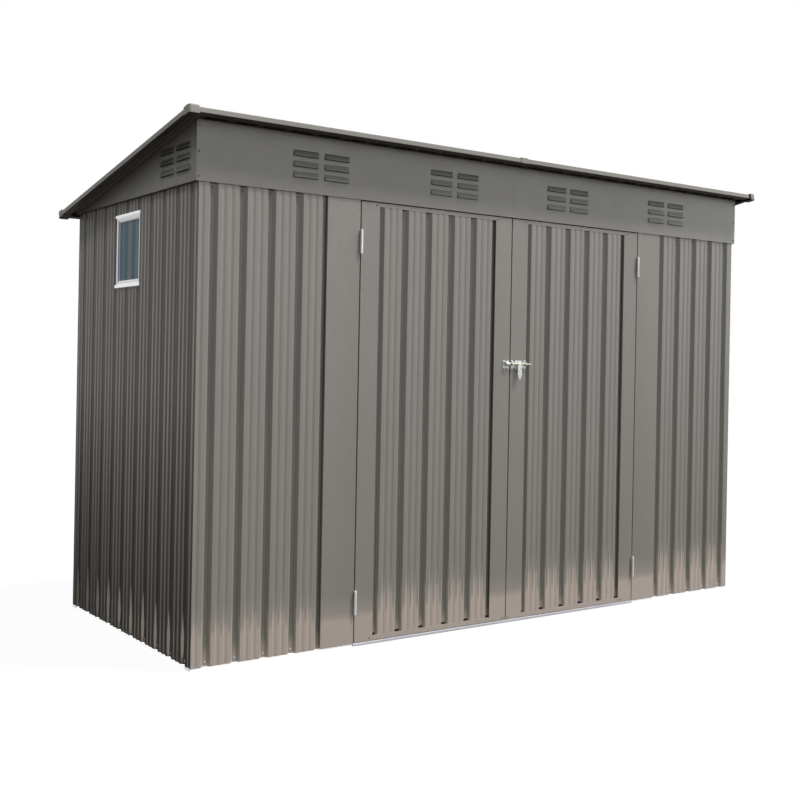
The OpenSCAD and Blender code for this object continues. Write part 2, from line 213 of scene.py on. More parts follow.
def lathe(bm, prof, centre, axis, segs=20):
    """Turns (r, h) points about axis through centre, in mm. The ends close where r is 0."""
    axis = Vector(axis).normalized()
    q = Vector((0, 0, 1)).rotation_difference(axis)
    c = Vector(centre)
    rings = []
    for r, h in prof:
        if r < 1e-6:
            rings.append([bm.verts.new((c + axis * h) * MM)])
        else:
            rings.append([bm.verts.new((c + q @ Vector((r * math.cos(2 * math.pi * k / segs), r * math.sin(2 * math.pi * k / segs), h))) * MM) for k in range(segs)])
    for a, b in zip(rings, rings[1:]):
        for k in range(segs):
            k1 = (k + 1) % segs
            if len(a) == 1 and len(b) == 1:
                continue
            if len(a) == 1:
                bm.faces.new((a[0], b[k], b[k1]))
            elif len(b) == 1:
                bm.faces.new((a[k], b[0], a[k1]))
            else:
                bm.faces.new((a[k], b[k], b[k1], a[k1]))


def seg(a, b, n):
    return [a + (b - a) * k / n for k in range(n + 1)]


# ---------------------------------------------------------------- corrugated line
def sheet_line(a, b, c0, round_top=3.0, round_floor=2.5, bead_d=BD):
    raw, rad = [(a, 0.0)], [0]
    k0, k1 = math.floor((a - c0) / PITCH) - 1, math.ceil((b - c0) / PITCH) + 1

    def bead(c):
        n = 8
        for i in range(n + 1):
            x = -BW / 2 + BW * i / n
            raw.append((c + x, bead_d * (0.5 + 0.5 * math.cos(math.pi * 2 * x / BW))))
            rad.append(0)
    for k in range(k0, k1 + 1):
        c = c0 + k * PITCH
        m = c + PITCH / 2
        if c - GW / 2 > a + 1 and c + GW / 2 < b - 1:
            raw += [(c - GW / 2, 0), (c - GF / 2, GD), (c + GF / 2, GD), (c + GW / 2, 0)]
            rad += [round_top, round_floor, round_floor, round_top]
        for s in (-1, 1):
            cb = m + s * BG / 2
            if cb - BW / 2 > a + 1 and cb + BW / 2 < b - 1:
                bead(cb)
    raw.append((b, 0.0)); rad.append(0)
    # drop repeated points
    pts, rr = [raw[0]], [rad[0]]
    for p, r in zip(raw[1:], rad[1:]):
        if abs(p[0] - pts[-1][0]) > 1e-6 or abs(p[1] - pts[-1][1]) > 1e-6:
            pts.append(p); rr.append(r)
    return fillet(pts, rr, 4)


# ---------------------------------------------------------------- materials
def nodes_of(m):
    m.use_nodes = True
    nt = m.node_tree
    return nt, nt.nodes, nt.links, nt.nodes["Principled BSDF"]


def math_node(nt, op, a=None, b=None, clamp=False):
    n = nt.nodes.new("ShaderNodeMath")
    n.operation = op
    n.use_clamp = clamp
    for i, v in enumerate((a, b)):
        if v is None:
            continue
        if isinstance(v, (int, float)):
            n.inputs[i].default_value = v
        else:
            nt.links.new(v, n.inputs[i])
    return n.outputs[0]


def mix_col(nt, fac, a, b, blend="MIX"):
    n = nt.nodes.new("ShaderNodeMix")
    n.data_type = "RGBA"
    n.blend_type = blend
    if isinstance(fac, (int, float)):
        n.inputs[0].default_value = fac
    else:
        nt.links.new(fac, n.inputs[0])
    for i, v in ((6, a), (7, b)):
        if isinstance(v, (tuple, list)):
            n.inputs[i].default_value = (*v[:3], 1)
        else:
            nt.links.new(v, n.inputs[i])
    return n.outputs[2]


def ramp(nt, fac, stops):
    n = nt.nodes.new("ShaderNodeValToRGB")
    el = n.color_ramp.elements
    while len(el) < len(stops):
        el.new(0.5)
    for e, (p, c) in zip(el, stops):
        e.position = p
        e.color = (*c[:3], 1) if isinstance(c, (tuple, list)) else (c, c, c, 1)
    nt.links.new(fac, n.inputs[0])
    return n.outputs[0]


def noise(nt, vec, scale, detail=3, rough=0.5, stretch=None):
    if stretch:
        mp = nt.nodes.new("ShaderNodeMapping")
        mp.inputs["Scale"].default_value = stretch
        nt.links.new(vec, mp.inputs["Vector"])
        vec = mp.outputs[0]
    n = nt.nodes.new("ShaderNodeTexNoise")
    n.inputs["Scale"].default_value = scale
    n.inputs["Detail"].default_value = detail
    n.inputs["Roughness"].default_value = rough
    nt.links.new(vec, n.inputs["Vector"])
    return n.outputs["Fac"]


def paint(name, colour, rough=0.34, reflection_band_and_foot_shade=0.9, groove=0.0, gdark=0.30, floors=True, wear=0.25, peel=0.10, side=False, underside_shade=0.0):
    """Baked-on coil paint: faint mottling, fine orange peel and pale worn folds, with painted shade in the grooves, on
    undersides and towards the foot, and a pale band along the foot that is a painted reflection of the ground.
    """
    m = bpy.data.materials.new(name)
    nt, nn, ll, bsdf = nodes_of(m)
    tc = nn.new("ShaderNodeTexCoord")
    obj, nor = tc.outputs["Object"], tc.outputs["Normal"]
    sep = nn.new("ShaderNodeSeparateXYZ")
    ll.new(obj, sep.inputs[0])
    sn = nn.new("ShaderNodeSeparateXYZ")
    ll.new(nor, sn.inputs[0])
    z = sep.outputs["Z"]
    aside = math_node(nt, "ABSOLUTE", sn.outputs["Y"] if side else sn.outputs["X"])
    dark = tuple(c * 0.965 for c in colour)
    light = tuple(min(1, c * 1.035) for c in colour)
    big = noise(nt, obj, 3.0, 3, 0.55)
    col = mix_col(nt, big, dark, light)
    # streaks that run down with the rain
    streak = noise(nt, obj, 1.0, 4, 0.6, stretch=(38, 38, 1.6))
    s = ramp(nt, streak, [(0.35, 0.0), (0.75, 1.0)])
    col = mix_col(nt, math_node(nt, "MULTIPLY", s, 0.10), col, tuple(c * 0.72 for c in colour))
    deep = None
    # painted shade: groove floors darker by how deep each point lies, and by height; on the fascia, the hood faces by
    # their shade attribute
    if groove > 0:
        at = nn.new("ShaderNodeAttribute")
        at.attribute_name = "groove"
        deep = at.outputs["Fac"]
        g = math_node(nt, "MULTIPLY", deep, groove)
        if floors:
            g = math_node(nt, "MULTIPLY", g, ramp(nt, aside, [(0.15, 1.0), (0.6, 0.0)]))
        g = math_node(nt, "MULTIPLY", g, ramp(nt, z, [(0.1, 1.0), (1.25, 0.0)] if side else [(0.35, 0.92), (0.70, 0.82), (1.0, 0.90)]) if floors else 1.0)
        col = mix_col(nt, g, col, tuple(c * gdark for c in colour))
    if side:
        # painted highlight: the front-facing edges of the beads on the end walls are paler, away from the groove
        # floors
        ahead = math_node(nt, "MULTIPLY", sn.outputs["Y"], -1.0)
        edge = math_node(nt, "MULTIPLY", ramp(nt, ahead, [(0.10, 0.0), (0.24, 1.0)]), math_node(nt, "LESS_THAN", deep, 0.42))
        col = mix_col(nt, edge, col, tuple(c * 3.4 for c in colour))
        # groove floors catch the open sky higher up
        floor = math_node(nt, "MULTIPLY", ramp(nt, deep, [(0.45, 0.0), (0.7, 1.0)]), ramp(nt, z, [(0.55, 0.0), (0.98, 1.0)]))
        col = mix_col(nt, floor, col, tuple(c * 1.7 for c in colour))
        # painted shade: the end walls darker towards the bottom, more so towards the back
        foot = ramp(nt, z, [(0.05, 0.50), (0.20, 0.52), (0.42, 0.60), (0.65, 0.76), (0.95, 1.0)])
        far = ramp(nt, z, [(0.05, 0.30), (0.20, 0.35), (0.42, 0.48), (0.65, 0.72), (0.95, 1.0)])
        back = ramp(nt, sep.outputs["Y"], [(0.0, 0.0), (0.5, 1.0)])
        col = mix_col(nt, 1.0, col, mix_col(nt, back, foot, far), "MULTIPLY")
        # painted reflection of the pale ground: beige flames on the far side of each groove, pointed at both ends,
        # fading towards the back
        across = math_node(nt, "SUBTRACT", 1.0, math_node(nt, "ABSOLUTE", math_node(nt, "SUBTRACT", math_node(nt, "MULTIPLY", deep, 2.0), 1.0)))
        lift = math_node(nt, "ADD", z, math_node(nt, "MULTIPLY", math_node(nt, "SUBTRACT", noise(nt, obj, 7, 1, 0.5), 0.5), 0.10))
        tip = ramp(nt, lift, [(0.01, 0.85), (0.04, 0.15), (0.09, 0.0), (0.14, 0.45), (0.20, 1.0)])
        fl = math_node(nt, "MULTIPLY", math_node(nt, "SUBTRACT", across, tip), 5.5, True)
        fl = math_node(nt, "MULTIPLY", fl, ramp(nt, ahead, [(0.30, 0.0), (0.5, 1.0)]))
        fl = math_node(nt, "MULTIPLY", fl, ramp(nt, back, [(0.0, 1.0), (1.0, 0.34)]))
        col = mix_col(nt, fl, col, (0.58, 0.48, 0.41))
    if wear > 0:
        ge = nn.new("ShaderNodeNewGeometry")
        w = ramp(nt, ge.outputs["Pointiness"], [(0.52, 0.0), (0.60, 1.0)])
        n2 = noise(nt, obj, 60, 2, 0.6)
        w = math_node(nt, "MULTIPLY", w, math_node(nt, "MULTIPLY", n2, wear))
        col = mix_col(nt, w, col, tuple(min(1, c * 1.5 + 0.05) for c in colour))
    if reflection_band_and_foot_shade:
        # painted reflection of the pale ground, in dust colours: the band's upper line climbs where the sheet turns
        # aside, and wanders a little
        tilt = ramp(nt, aside, [(0.0, 0.0), (0.06, 0.35), (0.20, 1.0)])
        wob = noise(nt, obj, 16, 2, 0.5, stretch=(1, 1, 0.3))
        # painted shade: the wall darker and slightly greener towards its foot, above the band
        g = ramp(nt, z, [(0.10, 1.0), (0.55, 0.6), (1.1, 0.0)])
        col = mix_col(nt, math_node(nt, "MULTIPLY", g, 0.30 * reflection_band_and_foot_shade), col, (colour[0] * 0.84, colour[1] * 0.87, colour[2] * 0.80))
        along = math_node(nt, "ADD", math_node(nt, "MULTIPLY", sep.outputs["X"], 1 / 3.0), 0.5)
        reach = ramp(nt, along, [(0.0, 0.040), (0.22, 0.05), (0.30, 0.080), (1.0, 0.090)])
        lift = math_node(nt, "ADD", math_node(nt, "MULTIPLY", tilt, reach), math_node(nt, "MULTIPLY", math_node(nt, "SUBTRACT", wob, 0.5), 0.03))
        zz = math_node(nt, "SUBTRACT", z, lift)
        f = ramp(nt, zz, [(0.105, 1.0), (0.135, 0.30), (0.20, 0.0)])
        f = math_node(nt, "MULTIPLY", f, reflection_band_and_foot_shade)
        if deep is not None:
            open_ = ramp(nt, deep, [(0.30, 1.0), (0.55, 0.12)])
            open_ = math_node(nt, "MAXIMUM", open_, ramp(nt, z, [(0.045, 0.60), (0.095, 0.0)]))
            f = math_node(nt, "MULTIPLY", f, open_)
        col = mix_col(nt, f, col, mix_col(nt, along, (0.425, 0.366, 0.328), (0.515, 0.445, 0.400)))
    # painted shade: with floors off (the fascia), the colour darkens towards the -X end
    if not floors:
        at_x = math_node(nt, "ADD", math_node(nt, "MULTIPLY", sep.outputs["X"], 1 / 3.0), 0.5)
        col = mix_col(nt, 1.0, col, ramp(nt, at_x, [(0.0, 0.70), (0.5, 0.76), (0.70, 0.79), (0.85, 0.94), (1.0, 1.0)]), "MULTIPLY")
    if underside_shade > 0:
        # painted shade on the undersides
        dn = ramp(nt, math_node(nt, "MULTIPLY", sn.outputs["Z"], -1.0), [(0.25, 0.0), (0.75, 1.0)])
        col = mix_col(nt, math_node(nt, "MULTIPLY", dn, underside_shade), col, tuple(c * 0.10 for c in colour))
    ll.new(col, bsdf.inputs["Base Color"])
    rn = noise(nt, obj, 22, 3, 0.6)
    rr = ramp(nt, rn, [(0.3, rough - 0.05), (0.7, rough + 0.06)])
    ll.new(rr, bsdf.inputs["Roughness"])
    bsdf.inputs["Specular IOR Level"].default_value = 0.5
    b1 = nn.new("ShaderNodeBump")
    b1.inputs["Strength"].default_value = peel
    b1.inputs["Distance"].default_value = 0.0004
    ll.new(noise(nt, obj, 420, 2, 0.5), b1.inputs["Height"])
    b2 = nn.new("ShaderNodeBump")
    b2.inputs["Strength"].default_value = 0.25
    b2.inputs["Distance"].default_value = 0.004
    ll.new(noise(nt, obj, 1.0, 2, 0.5, stretch=(5, 5, 1.4)), b2.inputs["Height"])
    ll.new(b1.outputs[0], b2.inputs["Normal"])
    ll.new(b2.outputs[0], bsdf.inputs["Normal"])
    return m


def metal(name, colour, rough=0.38, spangle=0.0, tint=None, metallic=1.0, wear=0.2):
    m = bpy.data.materials.new(name)
    nt, nn, ll, bsdf = nodes_of(m)
    tc = nn.new("ShaderNodeTexCoord")
    obj = tc.outputs["Object"]
    n1 = noise(nt, obj, 30, 4, 0.6)
    col = mix_col(nt, n1, tuple(c * 0.86 for c in colour), tuple(min(1, c * 1.06) for c in colour))
    if spangle:
        vo = nn.new("ShaderNodeTexVoronoi")
        vo.inputs["Scale"].default_value = 110
        ll.new(obj, vo.inputs["Vector"])
        bw = nn.new("ShaderNodeRGBToBW")
        ll.new(vo.outputs["Color"], bw.inputs[0])
        col = mix_col(nt, math_node(nt, "MULTIPLY", bw.outputs[0], spangle), col, tuple(c * 0.7 for c in colour))
    if tint:
        col = mix_col(nt, ramp(nt, noise(nt, obj, 45, 2, 0.5), [(0.45, 0.0), (0.65, 0.8)]), col, tint)
    ge = nn.new("ShaderNodeNewGeometry")
    w = ramp(nt, ge.outputs["Pointiness"], [(0.53, 0.0), (0.62, 1.0)])
    col = mix_col(nt, math_node(nt, "MULTIPLY", w, wear), col, (0.95, 0.95, 0.95))
    ll.new(col, bsdf.inputs["Base Color"])
    bsdf.inputs["Metallic"].default_value = metallic
    ll.new(ramp(nt, noise(nt, obj, 80, 3, 0.6), [(0.3, rough - 0.06), (0.7, rough + 0.10)]), bsdf.inputs["Roughness"])
    b = nn.new("ShaderNodeBump")
    b.inputs["Strength"].default_value = 0.15
    b.inputs["Distance"].default_value = 0.0004
    ll.new(noise(nt, obj, 300, 3, 0.6), b.inputs["Height"])
    ll.new(b.outputs[0], bsdf.inputs["Normal"])
    return m


TAUPE = (0.222, 0.213, 0.196)
WALL = paint("wall_paint", (0.256, 0.245, 0.226), groove=1.0)
# painted shade: the end walls use a much darker copy of the wall paint
SHADED_SIDE = paint("side_wall_paint_shaded", (0.110, 0.106, 0.098), groove=0.24, side=True, reflection_band_and_foot_shade=0, wear=0.1)
TRIM = paint("trim_paint", (0.235, 0.225, 0.207), wear=0.35)
TRIM_R = paint("roof_trim_paint", (0.235, 0.225, 0.207), reflection_band_and_foot_shade=0, wear=0.35, underside_shade=0.9)
FASC = paint("fascia_paint", (0.258, 0.251, 0.235), reflection_band_and_foot_shade=0, wear=0.2, groove=1.0, gdark=0.10, floors=False, underside_shade=0.6)
ROOF = paint("roof_paint", TAUPE, reflection_band_and_foot_shade=0, groove=0.25, underside_shade=0.7)
CAP = paint("cap_plastic", (0.250, 0.240, 0.220), reflection_band_and_foot_shade=0, wear=0.1, peel=0.25, rough=0.45, underside_shade=0.9)
GAP = paint("cap_gap_shade", (0.010, 0.010, 0.009), reflection_band_and_foot_shade=0, wear=0, rough=0.8)
GAP.node_tree.nodes["Principled BSDF"].inputs["Specular IOR Level"].default_value = 0.1
GALV = metal("galvanised", (0.72, 0.73, 0.76), 0.42, spangle=0.5, metallic=0.75)
ZINC = metal("zinc_plate", (0.74, 0.76, 0.76), 0.30, metallic=0.35)
HINGE = metal("hinge_zinc", (0.93, 0.935, 0.94), 0.32, metallic=0.20, wear=0.1)
BRASSY = metal("passivated_bolt", (0.86, 0.84, 0.76), 0.22, tint=(0.80, 0.66, 0.30))
SCREW = metal("screw_zinc", (0.60, 0.60, 0.60), 0.35, metallic=0.9)
SCREW_P = paint("screw_paint", (0.13, 0.125, 0.115), reflection_band_and_foot_shade=0, wear=0.3)


def white_plastic(name, shade_tone, glow):
    m = bpy.data.materials.new(name)
    nt, nn, ll, bsdf = nodes_of(m)
    tc = nn.new("ShaderNodeTexCoord")
    obj = tc.outputs["Object"]
    n1 = noise(nt, obj, 25, 3, 0.6)
    col = mix_col(nt, n1, (0.86 * shade_tone, 0.87 * shade_tone, 0.87 * shade_tone), (0.95 * shade_tone, 0.95 * shade_tone, 0.95 * shade_tone))
    g = noise(nt, obj, 8, 3, 0.6, stretch=(4, 4, 1))
    col = mix_col(nt, math_node(nt, "MULTIPLY", ramp(nt, g, [(0.5, 0.0), (0.75, 1.0)]), 0.15), col, (0.5, 0.48, 0.44))
    # painted reflection: the edges that face the front are tinted blue, like the pane beside them
    sn = nn.new("ShaderNodeSeparateXYZ")
    ll.new(tc.outputs["Normal"], sn.inputs[0])
    ahead = ramp(nt, math_node(nt, "MULTIPLY", sn.outputs["Y"], -1.0), [(0.55, 0.0), (0.85, 1.0)])
    col = mix_col(nt, math_node(nt, "MULTIPLY", ahead, 0.9), col, (0.22, 0.29, 0.37))
    ll.new(col, bsdf.inputs["Base Color"])
    ll.new(ramp(nt, n1, [(0.3, 0.28), (0.7, 0.40)]), bsdf.inputs["Roughness"])
    # painted light: the plastic glows, less on the blue-tinted edges
    bsdf.inputs["Emission Color"].default_value = (0.96, 0.97, 1.0, 1)
    ll.new(math_node(nt, "MULTIPLY", math_node(nt, "SUBTRACT", 1.0, math_node(nt, "MULTIPLY", ahead, 0.9)), glow), bsdf.inputs["Emission Strength"])
    b = nn.new("ShaderNodeBump")
    b.inputs["Strength"].default_value = 0.08
    b.inputs["Distance"].default_value = 0.0003
    ll.new(noise(nt, obj, 350, 2, 0.5), b.inputs["Height"])
    ll.new(b.outputs[0], bsdf.inputs["Normal"])
    return m


def pane():
    m = bpy.data.materials.new("window_pane")
    nt, nn, ll, bsdf = nodes_of(m)
    tc = nn.new("ShaderNodeTexCoord")
    obj = tc.outputs["Object"]
    sep = nn.new("ShaderNodeSeparateXYZ")
    ll.new(obj, sep.inputs[0])
    # painted light: broad upright paler bands on dark teal stand for the lit wall folds seen through the pane, with a
    # pale blue highlight at one edge
    y = math_node(nt, "SUBTRACT", sep.outputs["Y"], (YF + WIN_Y + 9) * MM)
    y = math_node(nt, "DIVIDE", y, (WIN_W - 18) * MM)
    y = math_node(nt, "ADD", y, math_node(nt, "MULTIPLY", math_node(nt, "SUBTRACT", noise(nt, obj, 5, 2, 0.5, stretch=(1, 0.3, 1)), 0.5), 0.05))
    n = nn.new("ShaderNodeValToRGB")
    stops = [(0.0, (0.024, 0.040, 0.052)), (0.05, (0.085, 0.115, 0.135)), (0.22, (0.085, 0.115, 0.135)), (0.30, (0.024, 0.058, 0.080)),
             (0.40, (0.026, 0.062, 0.085)), (0.46, (0.105, 0.122, 0.130)), (0.57, (0.098, 0.116, 0.125)), (0.63, (0.028, 0.064, 0.086)),
             (0.76, (0.030, 0.068, 0.090)), (0.82, (0.085, 0.118, 0.138)), (0.93, (0.068, 0.115, 0.150)), (0.97, (0.14, 0.20, 0.28))]
    el = n.color_ramp.elements
    while len(el) < len(stops):
        el.new(0.5)
    for e, (p, c) in zip(el, stops):
        e.position = p
        e.color = (*c, 1)
    ll.new(y, n.inputs[0])
    col = n.outputs[0]
    col = mix_col(nt, math_node(nt, "MULTIPLY", noise(nt, obj, 12, 2, 0.5, stretch=(1, 2, 0.5)), 0.3), col, (0.07, 0.11, 0.13))
    ll.new(col, bsdf.inputs["Base Color"])
    bsdf.inputs["Roughness"].default_value = 0.12
    bsdf.inputs["Specular IOR Level"].default_value = 0.22
    # painted light: the pane glows in its own colours
    ll.new(col, bsdf.inputs["Emission Color"])
    bsdf.inputs["Emission Strength"].default_value = 0.30
    b = nn.new("ShaderNodeBump")
    b.inputs["Strength"].default_value = 0.05
    b.inputs["Distance"].default_value = 0.001
    ll.new(noise(nt, obj, 20, 2, 0.5), b.inputs["Height"])
    ll.new(b.outputs[0], bsdf.inputs["Normal"])
    return m


# painted shade: the frame's white is a darker, less glowing copy of the head and sill white
WHITE, FRAME_SHADED, PANE = white_plastic("window_white", 1.0, 0.38), white_plastic("window_frame_white_shaded", 0.80, 0.24), pane()
RAIL = metal("base_zinc", (0.93, 0.93, 0.95), 0.5, spangle=0.15, metallic=0.0, wear=0.3)
SILL = metal("sill_zinc", (0.55, 0.55, 0.62), 0.45, spangle=0.1, metallic=0.0, wear=0.2)
RAIL_S = metal("base_zinc_glowing_in_shade", (0.93, 0.93, 0.95), 0.5, spangle=0.15, metallic=0.0, wear=0.3)
# painted light: the base rails glow so they read white; the copy for the sides, which stand in shade, glows more
for m, e in ((RAIL, 0.32), (RAIL_S, 0.60)):
    m.node_tree.nodes["Principled BSDF"].inputs["Emission Color"].default_value = (1, 1, 1, 1)
    m.node_tree.nodes["Principled BSDF"].inputs["Emission Strength"].default_value = e


def set_mat(node, mat):
    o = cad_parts[node]
    if not o.material_slots:
        o.data.materials.append(mat)
    for s in o.material_slots:
        s.link = "OBJECT"
        s.material = mat


for n in ("base_rail_front", "base_rail_back", "base_rail_sides", "door_threshold", "corner_posts_front", "corner_posts_back",
          "door_post_left", "door_post_right", "door_header", "top_rail_back", "top_rail_sides", "roof_rafter"):
    set_mat(n, RAIL_S if n == "base_rail_sides" else RAIL if n.startswith("base_rail") or n == "door_threshold" else GALV)


# ---------------------------------------------------------------- corrugated sheets
def corrugated(name, node, a, b, c0, levels, place, mat, body, keep=None, hole=None):
    bm = bmesh.new()
    line = sheet_line(a, b, c0, bead_d=3.2 if mat is SHADED_SIDE else BD)
    if hole:
        # cut lines at the hole's sides
        s0, s1 = hole
        new = []
        for p, q in zip(line, line[1:]):
            new.append(p)
            for s in sorted((s0, s1)):
                if p.x + 0.2 < s < q.x - 0.2:
                    new.append(p.lerp(q, (s - p.x) / (q.x - p.x)))
        line = new + [line[-1]]
    kp = (lambda i, j: keep(line, i, j)) if keep else None
    strip(bm, line, T, levels, place, kp)
    o = link(name, bm, mat, body, replaces=(node,))
    # how deep each point lies in a groove
    at = o.data.attributes.new("groove", "FLOAT", "POINT")
    inv = {}
    vals = [0.0] * len(o.data.vertices)
    for i, v in enumerate(o.data.vertices):
        vals[i] = max(0.0, min(1.0, depth_of(node, v.co) / GD))
    at.data.foreach_set("value", vals)
    return o


def depth_of(node, co):
    if node.startswith("wall_front") or node.startswith("door"):
        return co.y / MM - YF
    if node == "wall_back":
        return YB - co.y / MM
    if node == "wall_left":
        return co.x / MM + HW
    if node == "wall_right":
        return HW - co.x / MM
    # roof: below its own plane
    dy, dz = co.y / MM - (YF - OVER_F), co.z / MM - ROOF_Z
    n = dy * math.sin(ROOF_DEG) + dz * math.cos(ROOF_DEG)
    return -SHEET_DROP - n


LEV = [0, 60, 140, 240, 420, 650, 900, 1150, 1400, 1560, 1640, PANEL_H]
front = lambda s, d, h: Vector((s, YF + d, PANEL_Z0 + h)) * MM
corrugated("wall_front_left_sheet", "wall_front_left", -HW + T, -HW + 614, -HW + 58, LEV, front, WALL, "shed")
corrugated("wall_front_right_sheet", "wall_front_right", HW - 614, HW - T, HW - 614 + 102.5, LEV, front, WALL, "shed")
corrugated("wall_back_sheet", "wall_back", -HW + T, HW - T, -HW + 52, LEV, lambda s, d, h: Vector((-s, YB - d, PANEL_Z0 + h)) * MM, WALL, "shed")
c_side = (D - 9 * PITCH) / 2
right = lambda s, d, h: Vector((HW - d, YF + s, PANEL_Z0 + h)) * MM
left = lambda s, d, h: Vector((-HW + d, YB - s, PANEL_Z0 + h)) * MM
corrugated("wall_right_sheet", "wall_right", T + 0.1, D - T - 0.1, c_side, LEV, right, SHADED_SIDE, "shed")
h0, h1 = WIN_Z + 3 - PANEL_Z0, WIN_Z + WIN_H - 3 - PANEL_Z0
s0, s1 = D - (WIN_Y + WIN_W - 3), D - (WIN_Y + 3)
lev_l = sorted(set(LEV + [h0, h1]))
corrugated("wall_left_sheet", "wall_left", T + 0.1, D - T - 0.1, c_side, lev_l, left, SHADED_SIDE, "shed", hole=(s0, s1),
           keep=lambda line, i, j: not (s0 - 0.1 <= line[i].x and line[i + 1].x <= s1 + 0.1 and lev_l[j] >= h0 - 0.1 and lev_l[j + 1] <= h1 + 0.1))

# door sheets: the groove ends stay open just above the bottom rail
slot0, slot1 = DOOR_Z0 + RAIL_LOW - 1, DOOR_Z0 + RAIL_LOW + 7
lev_d = [DOOR_Z0 + 1.2, slot0, slot1, 90, 160, 260, 430, 660, 900, 1150, 1400, 1560, 1640, DOOR_Z1 - 1.2]
for side, mx in (("left", 1), ("right", -1)):
    a, b = DX0 + 1.2, DX1 - 1.2
    c0 = (DX0 + DX1) / 2 - 2.5 * PITCH
    corrugated(f"door_{side}_panel", f"door_{side}_sheet", a, b, c0, lev_d,
               lambda s, d, h, mx=mx: Vector((mx * s, YF + d, h)) * MM, WALL, f"door_{side}",
               keep=lambda line, i, j: not (lev_d[j] == slot0 and min(line[i].y, line[i + 1].y) > 5.0))

# roof sheets
def on_roof(x, y, z):
    return Vector((x, YF - OVER_F + y * math.cos(ROOF_DEG) + z * math.sin(ROOF_DEG), ROOF_Z - y * math.sin(ROOF_DEG) + z * math.cos(ROOF_DEG))) * MM
RX = HW + OVER_S - CAP_OUT
for side, mx in (("left", 1), ("right", -1)):
    corrugated(f"roof_{side}_panel", f"roof_sheet_{side}", -RX + 2, -0.5, -12.5 * PITCH + 2, [CAP_OUT + 2, 60, 250, 500, 750, 1000, 1230, ROOF_LEN - CAP_OUT - 2],
               lambda s, d, h, mx=mx: on_roof(mx * s, h, -SHEET_DROP - d), ROOF, "shed")


# ---------------------------------------------------------------- jambs
for side, mx in (("left", 1), ("right", -1)):
    bm = bmesh.new()
    x0, x1 = -910.0, -SEAM - 2.5 - T
    ln = fillet([(x0, YF - T), (x1 + T, YF - T), (x1 + T, YF + 49.2)], [0, 1.8, 0], 5)
    ln = [Vector((mx * p.x, p.y)) for p in ln]
    strip(bm, ln, T * mx, [10, 60, 140, 300, 600, 900, 1200, 1500, WALL_TOP - 0.5], lambda s, d, h: Vector((s, d, h)) * MM)
    link(f"door_jamb_{side}_strip", bm, TRIM, "shed", replaces=(f"door_jamb_{side}",))


# ---------------------------------------------------------------- fascia and gables with pressed louvres
def hood(bm, place, L, H, out, t=0.8):
    """A louvre pressed out of the sheet: a flat slanted face, closed ends, open below. place(u, v, w): w is outwards."""
    us = [0, 0.8, 2.0, 3.6, 5.2] + [5.2 + (L - 10.4) * k / 6 for k in range(1, 6)] + [L - 5.2, L - 3.6, L - 2.0, L - 0.8, L]
    vs = [0, 0.30 * H, 0.60 * H, 0.84 * H, 0.95 * H, H]

    def disp(u, v):
        e = min(u, L - u) / 5.2
        f = min(1.0, 1.12 * e) if e < 0.8 else min(1.0, 0.896 + 0.52 * (e - 0.8))
        g = 1 - v / H
        top = min(1.0, g / 0.05) ** 0.7
        return out * f * max(0.0, g * 0.93 + 0.07 * top)
    fr = [[bm.verts.new(place(u, v, disp(u, v) + 0.02)) for u in us] for v in vs]
    ba = [[bm.verts.new(place(u, v, max(disp(u, v) - t, -t + 0.02))) for u in us] for v in vs]
    n, nv = len(us), len(vs) - 1
    for j in range(nv):
        for i in range(n - 1):
            bm.faces.new((fr[j][i], fr[j][i + 1], fr[j + 1][i + 1], fr[j + 1][i]))
            bm.faces.new((ba[j][i], ba[j + 1][i], ba[j + 1][i + 1], ba[j][i + 1]))
    for i in range(n - 1):
        bm.faces.new((fr[0][i], ba[0][i], ba[0][i + 1], fr[0][i + 1]))
        bm.faces.new((fr[nv][i], fr[nv][i + 1], ba[nv][i + 1], ba[nv][i]))
    for j in range(nv):
        bm.faces.new((fr[j][0], fr[j + 1][0], ba[j + 1][0], ba[j][0]))
        bm.faces.new((fr[j][n - 1], ba[j][n - 1], ba[j + 1][n - 1], fr[j + 1][n - 1]))


def shade_hoods(o, out_of, z_first):
    """How much painted shade each point of the pressed hoods gets: most under the roof, and at the top of each hood.
    """
    at = o.data.attributes.new("groove", "FLOAT", "POINT")
    vals = [0.0] * len(o.data.vertices)
    for i, v in enumerate(o.data.vertices):
        w = out_of(v.co / MM)
        r, h = divmod(v.co.z / MM - z_first, LV_STEP)
        if -0.5 <= r <= 2 and h <= LV_H + 0.1 and abs(w) > 0.015:
            vals[i] = (0.40, 0.42, 0.50)[int(r)] + (0.05, 0.06, 0.30)[int(r)] * (h / LV_H) ** 2
    at.data.foreach_set("value", vals)


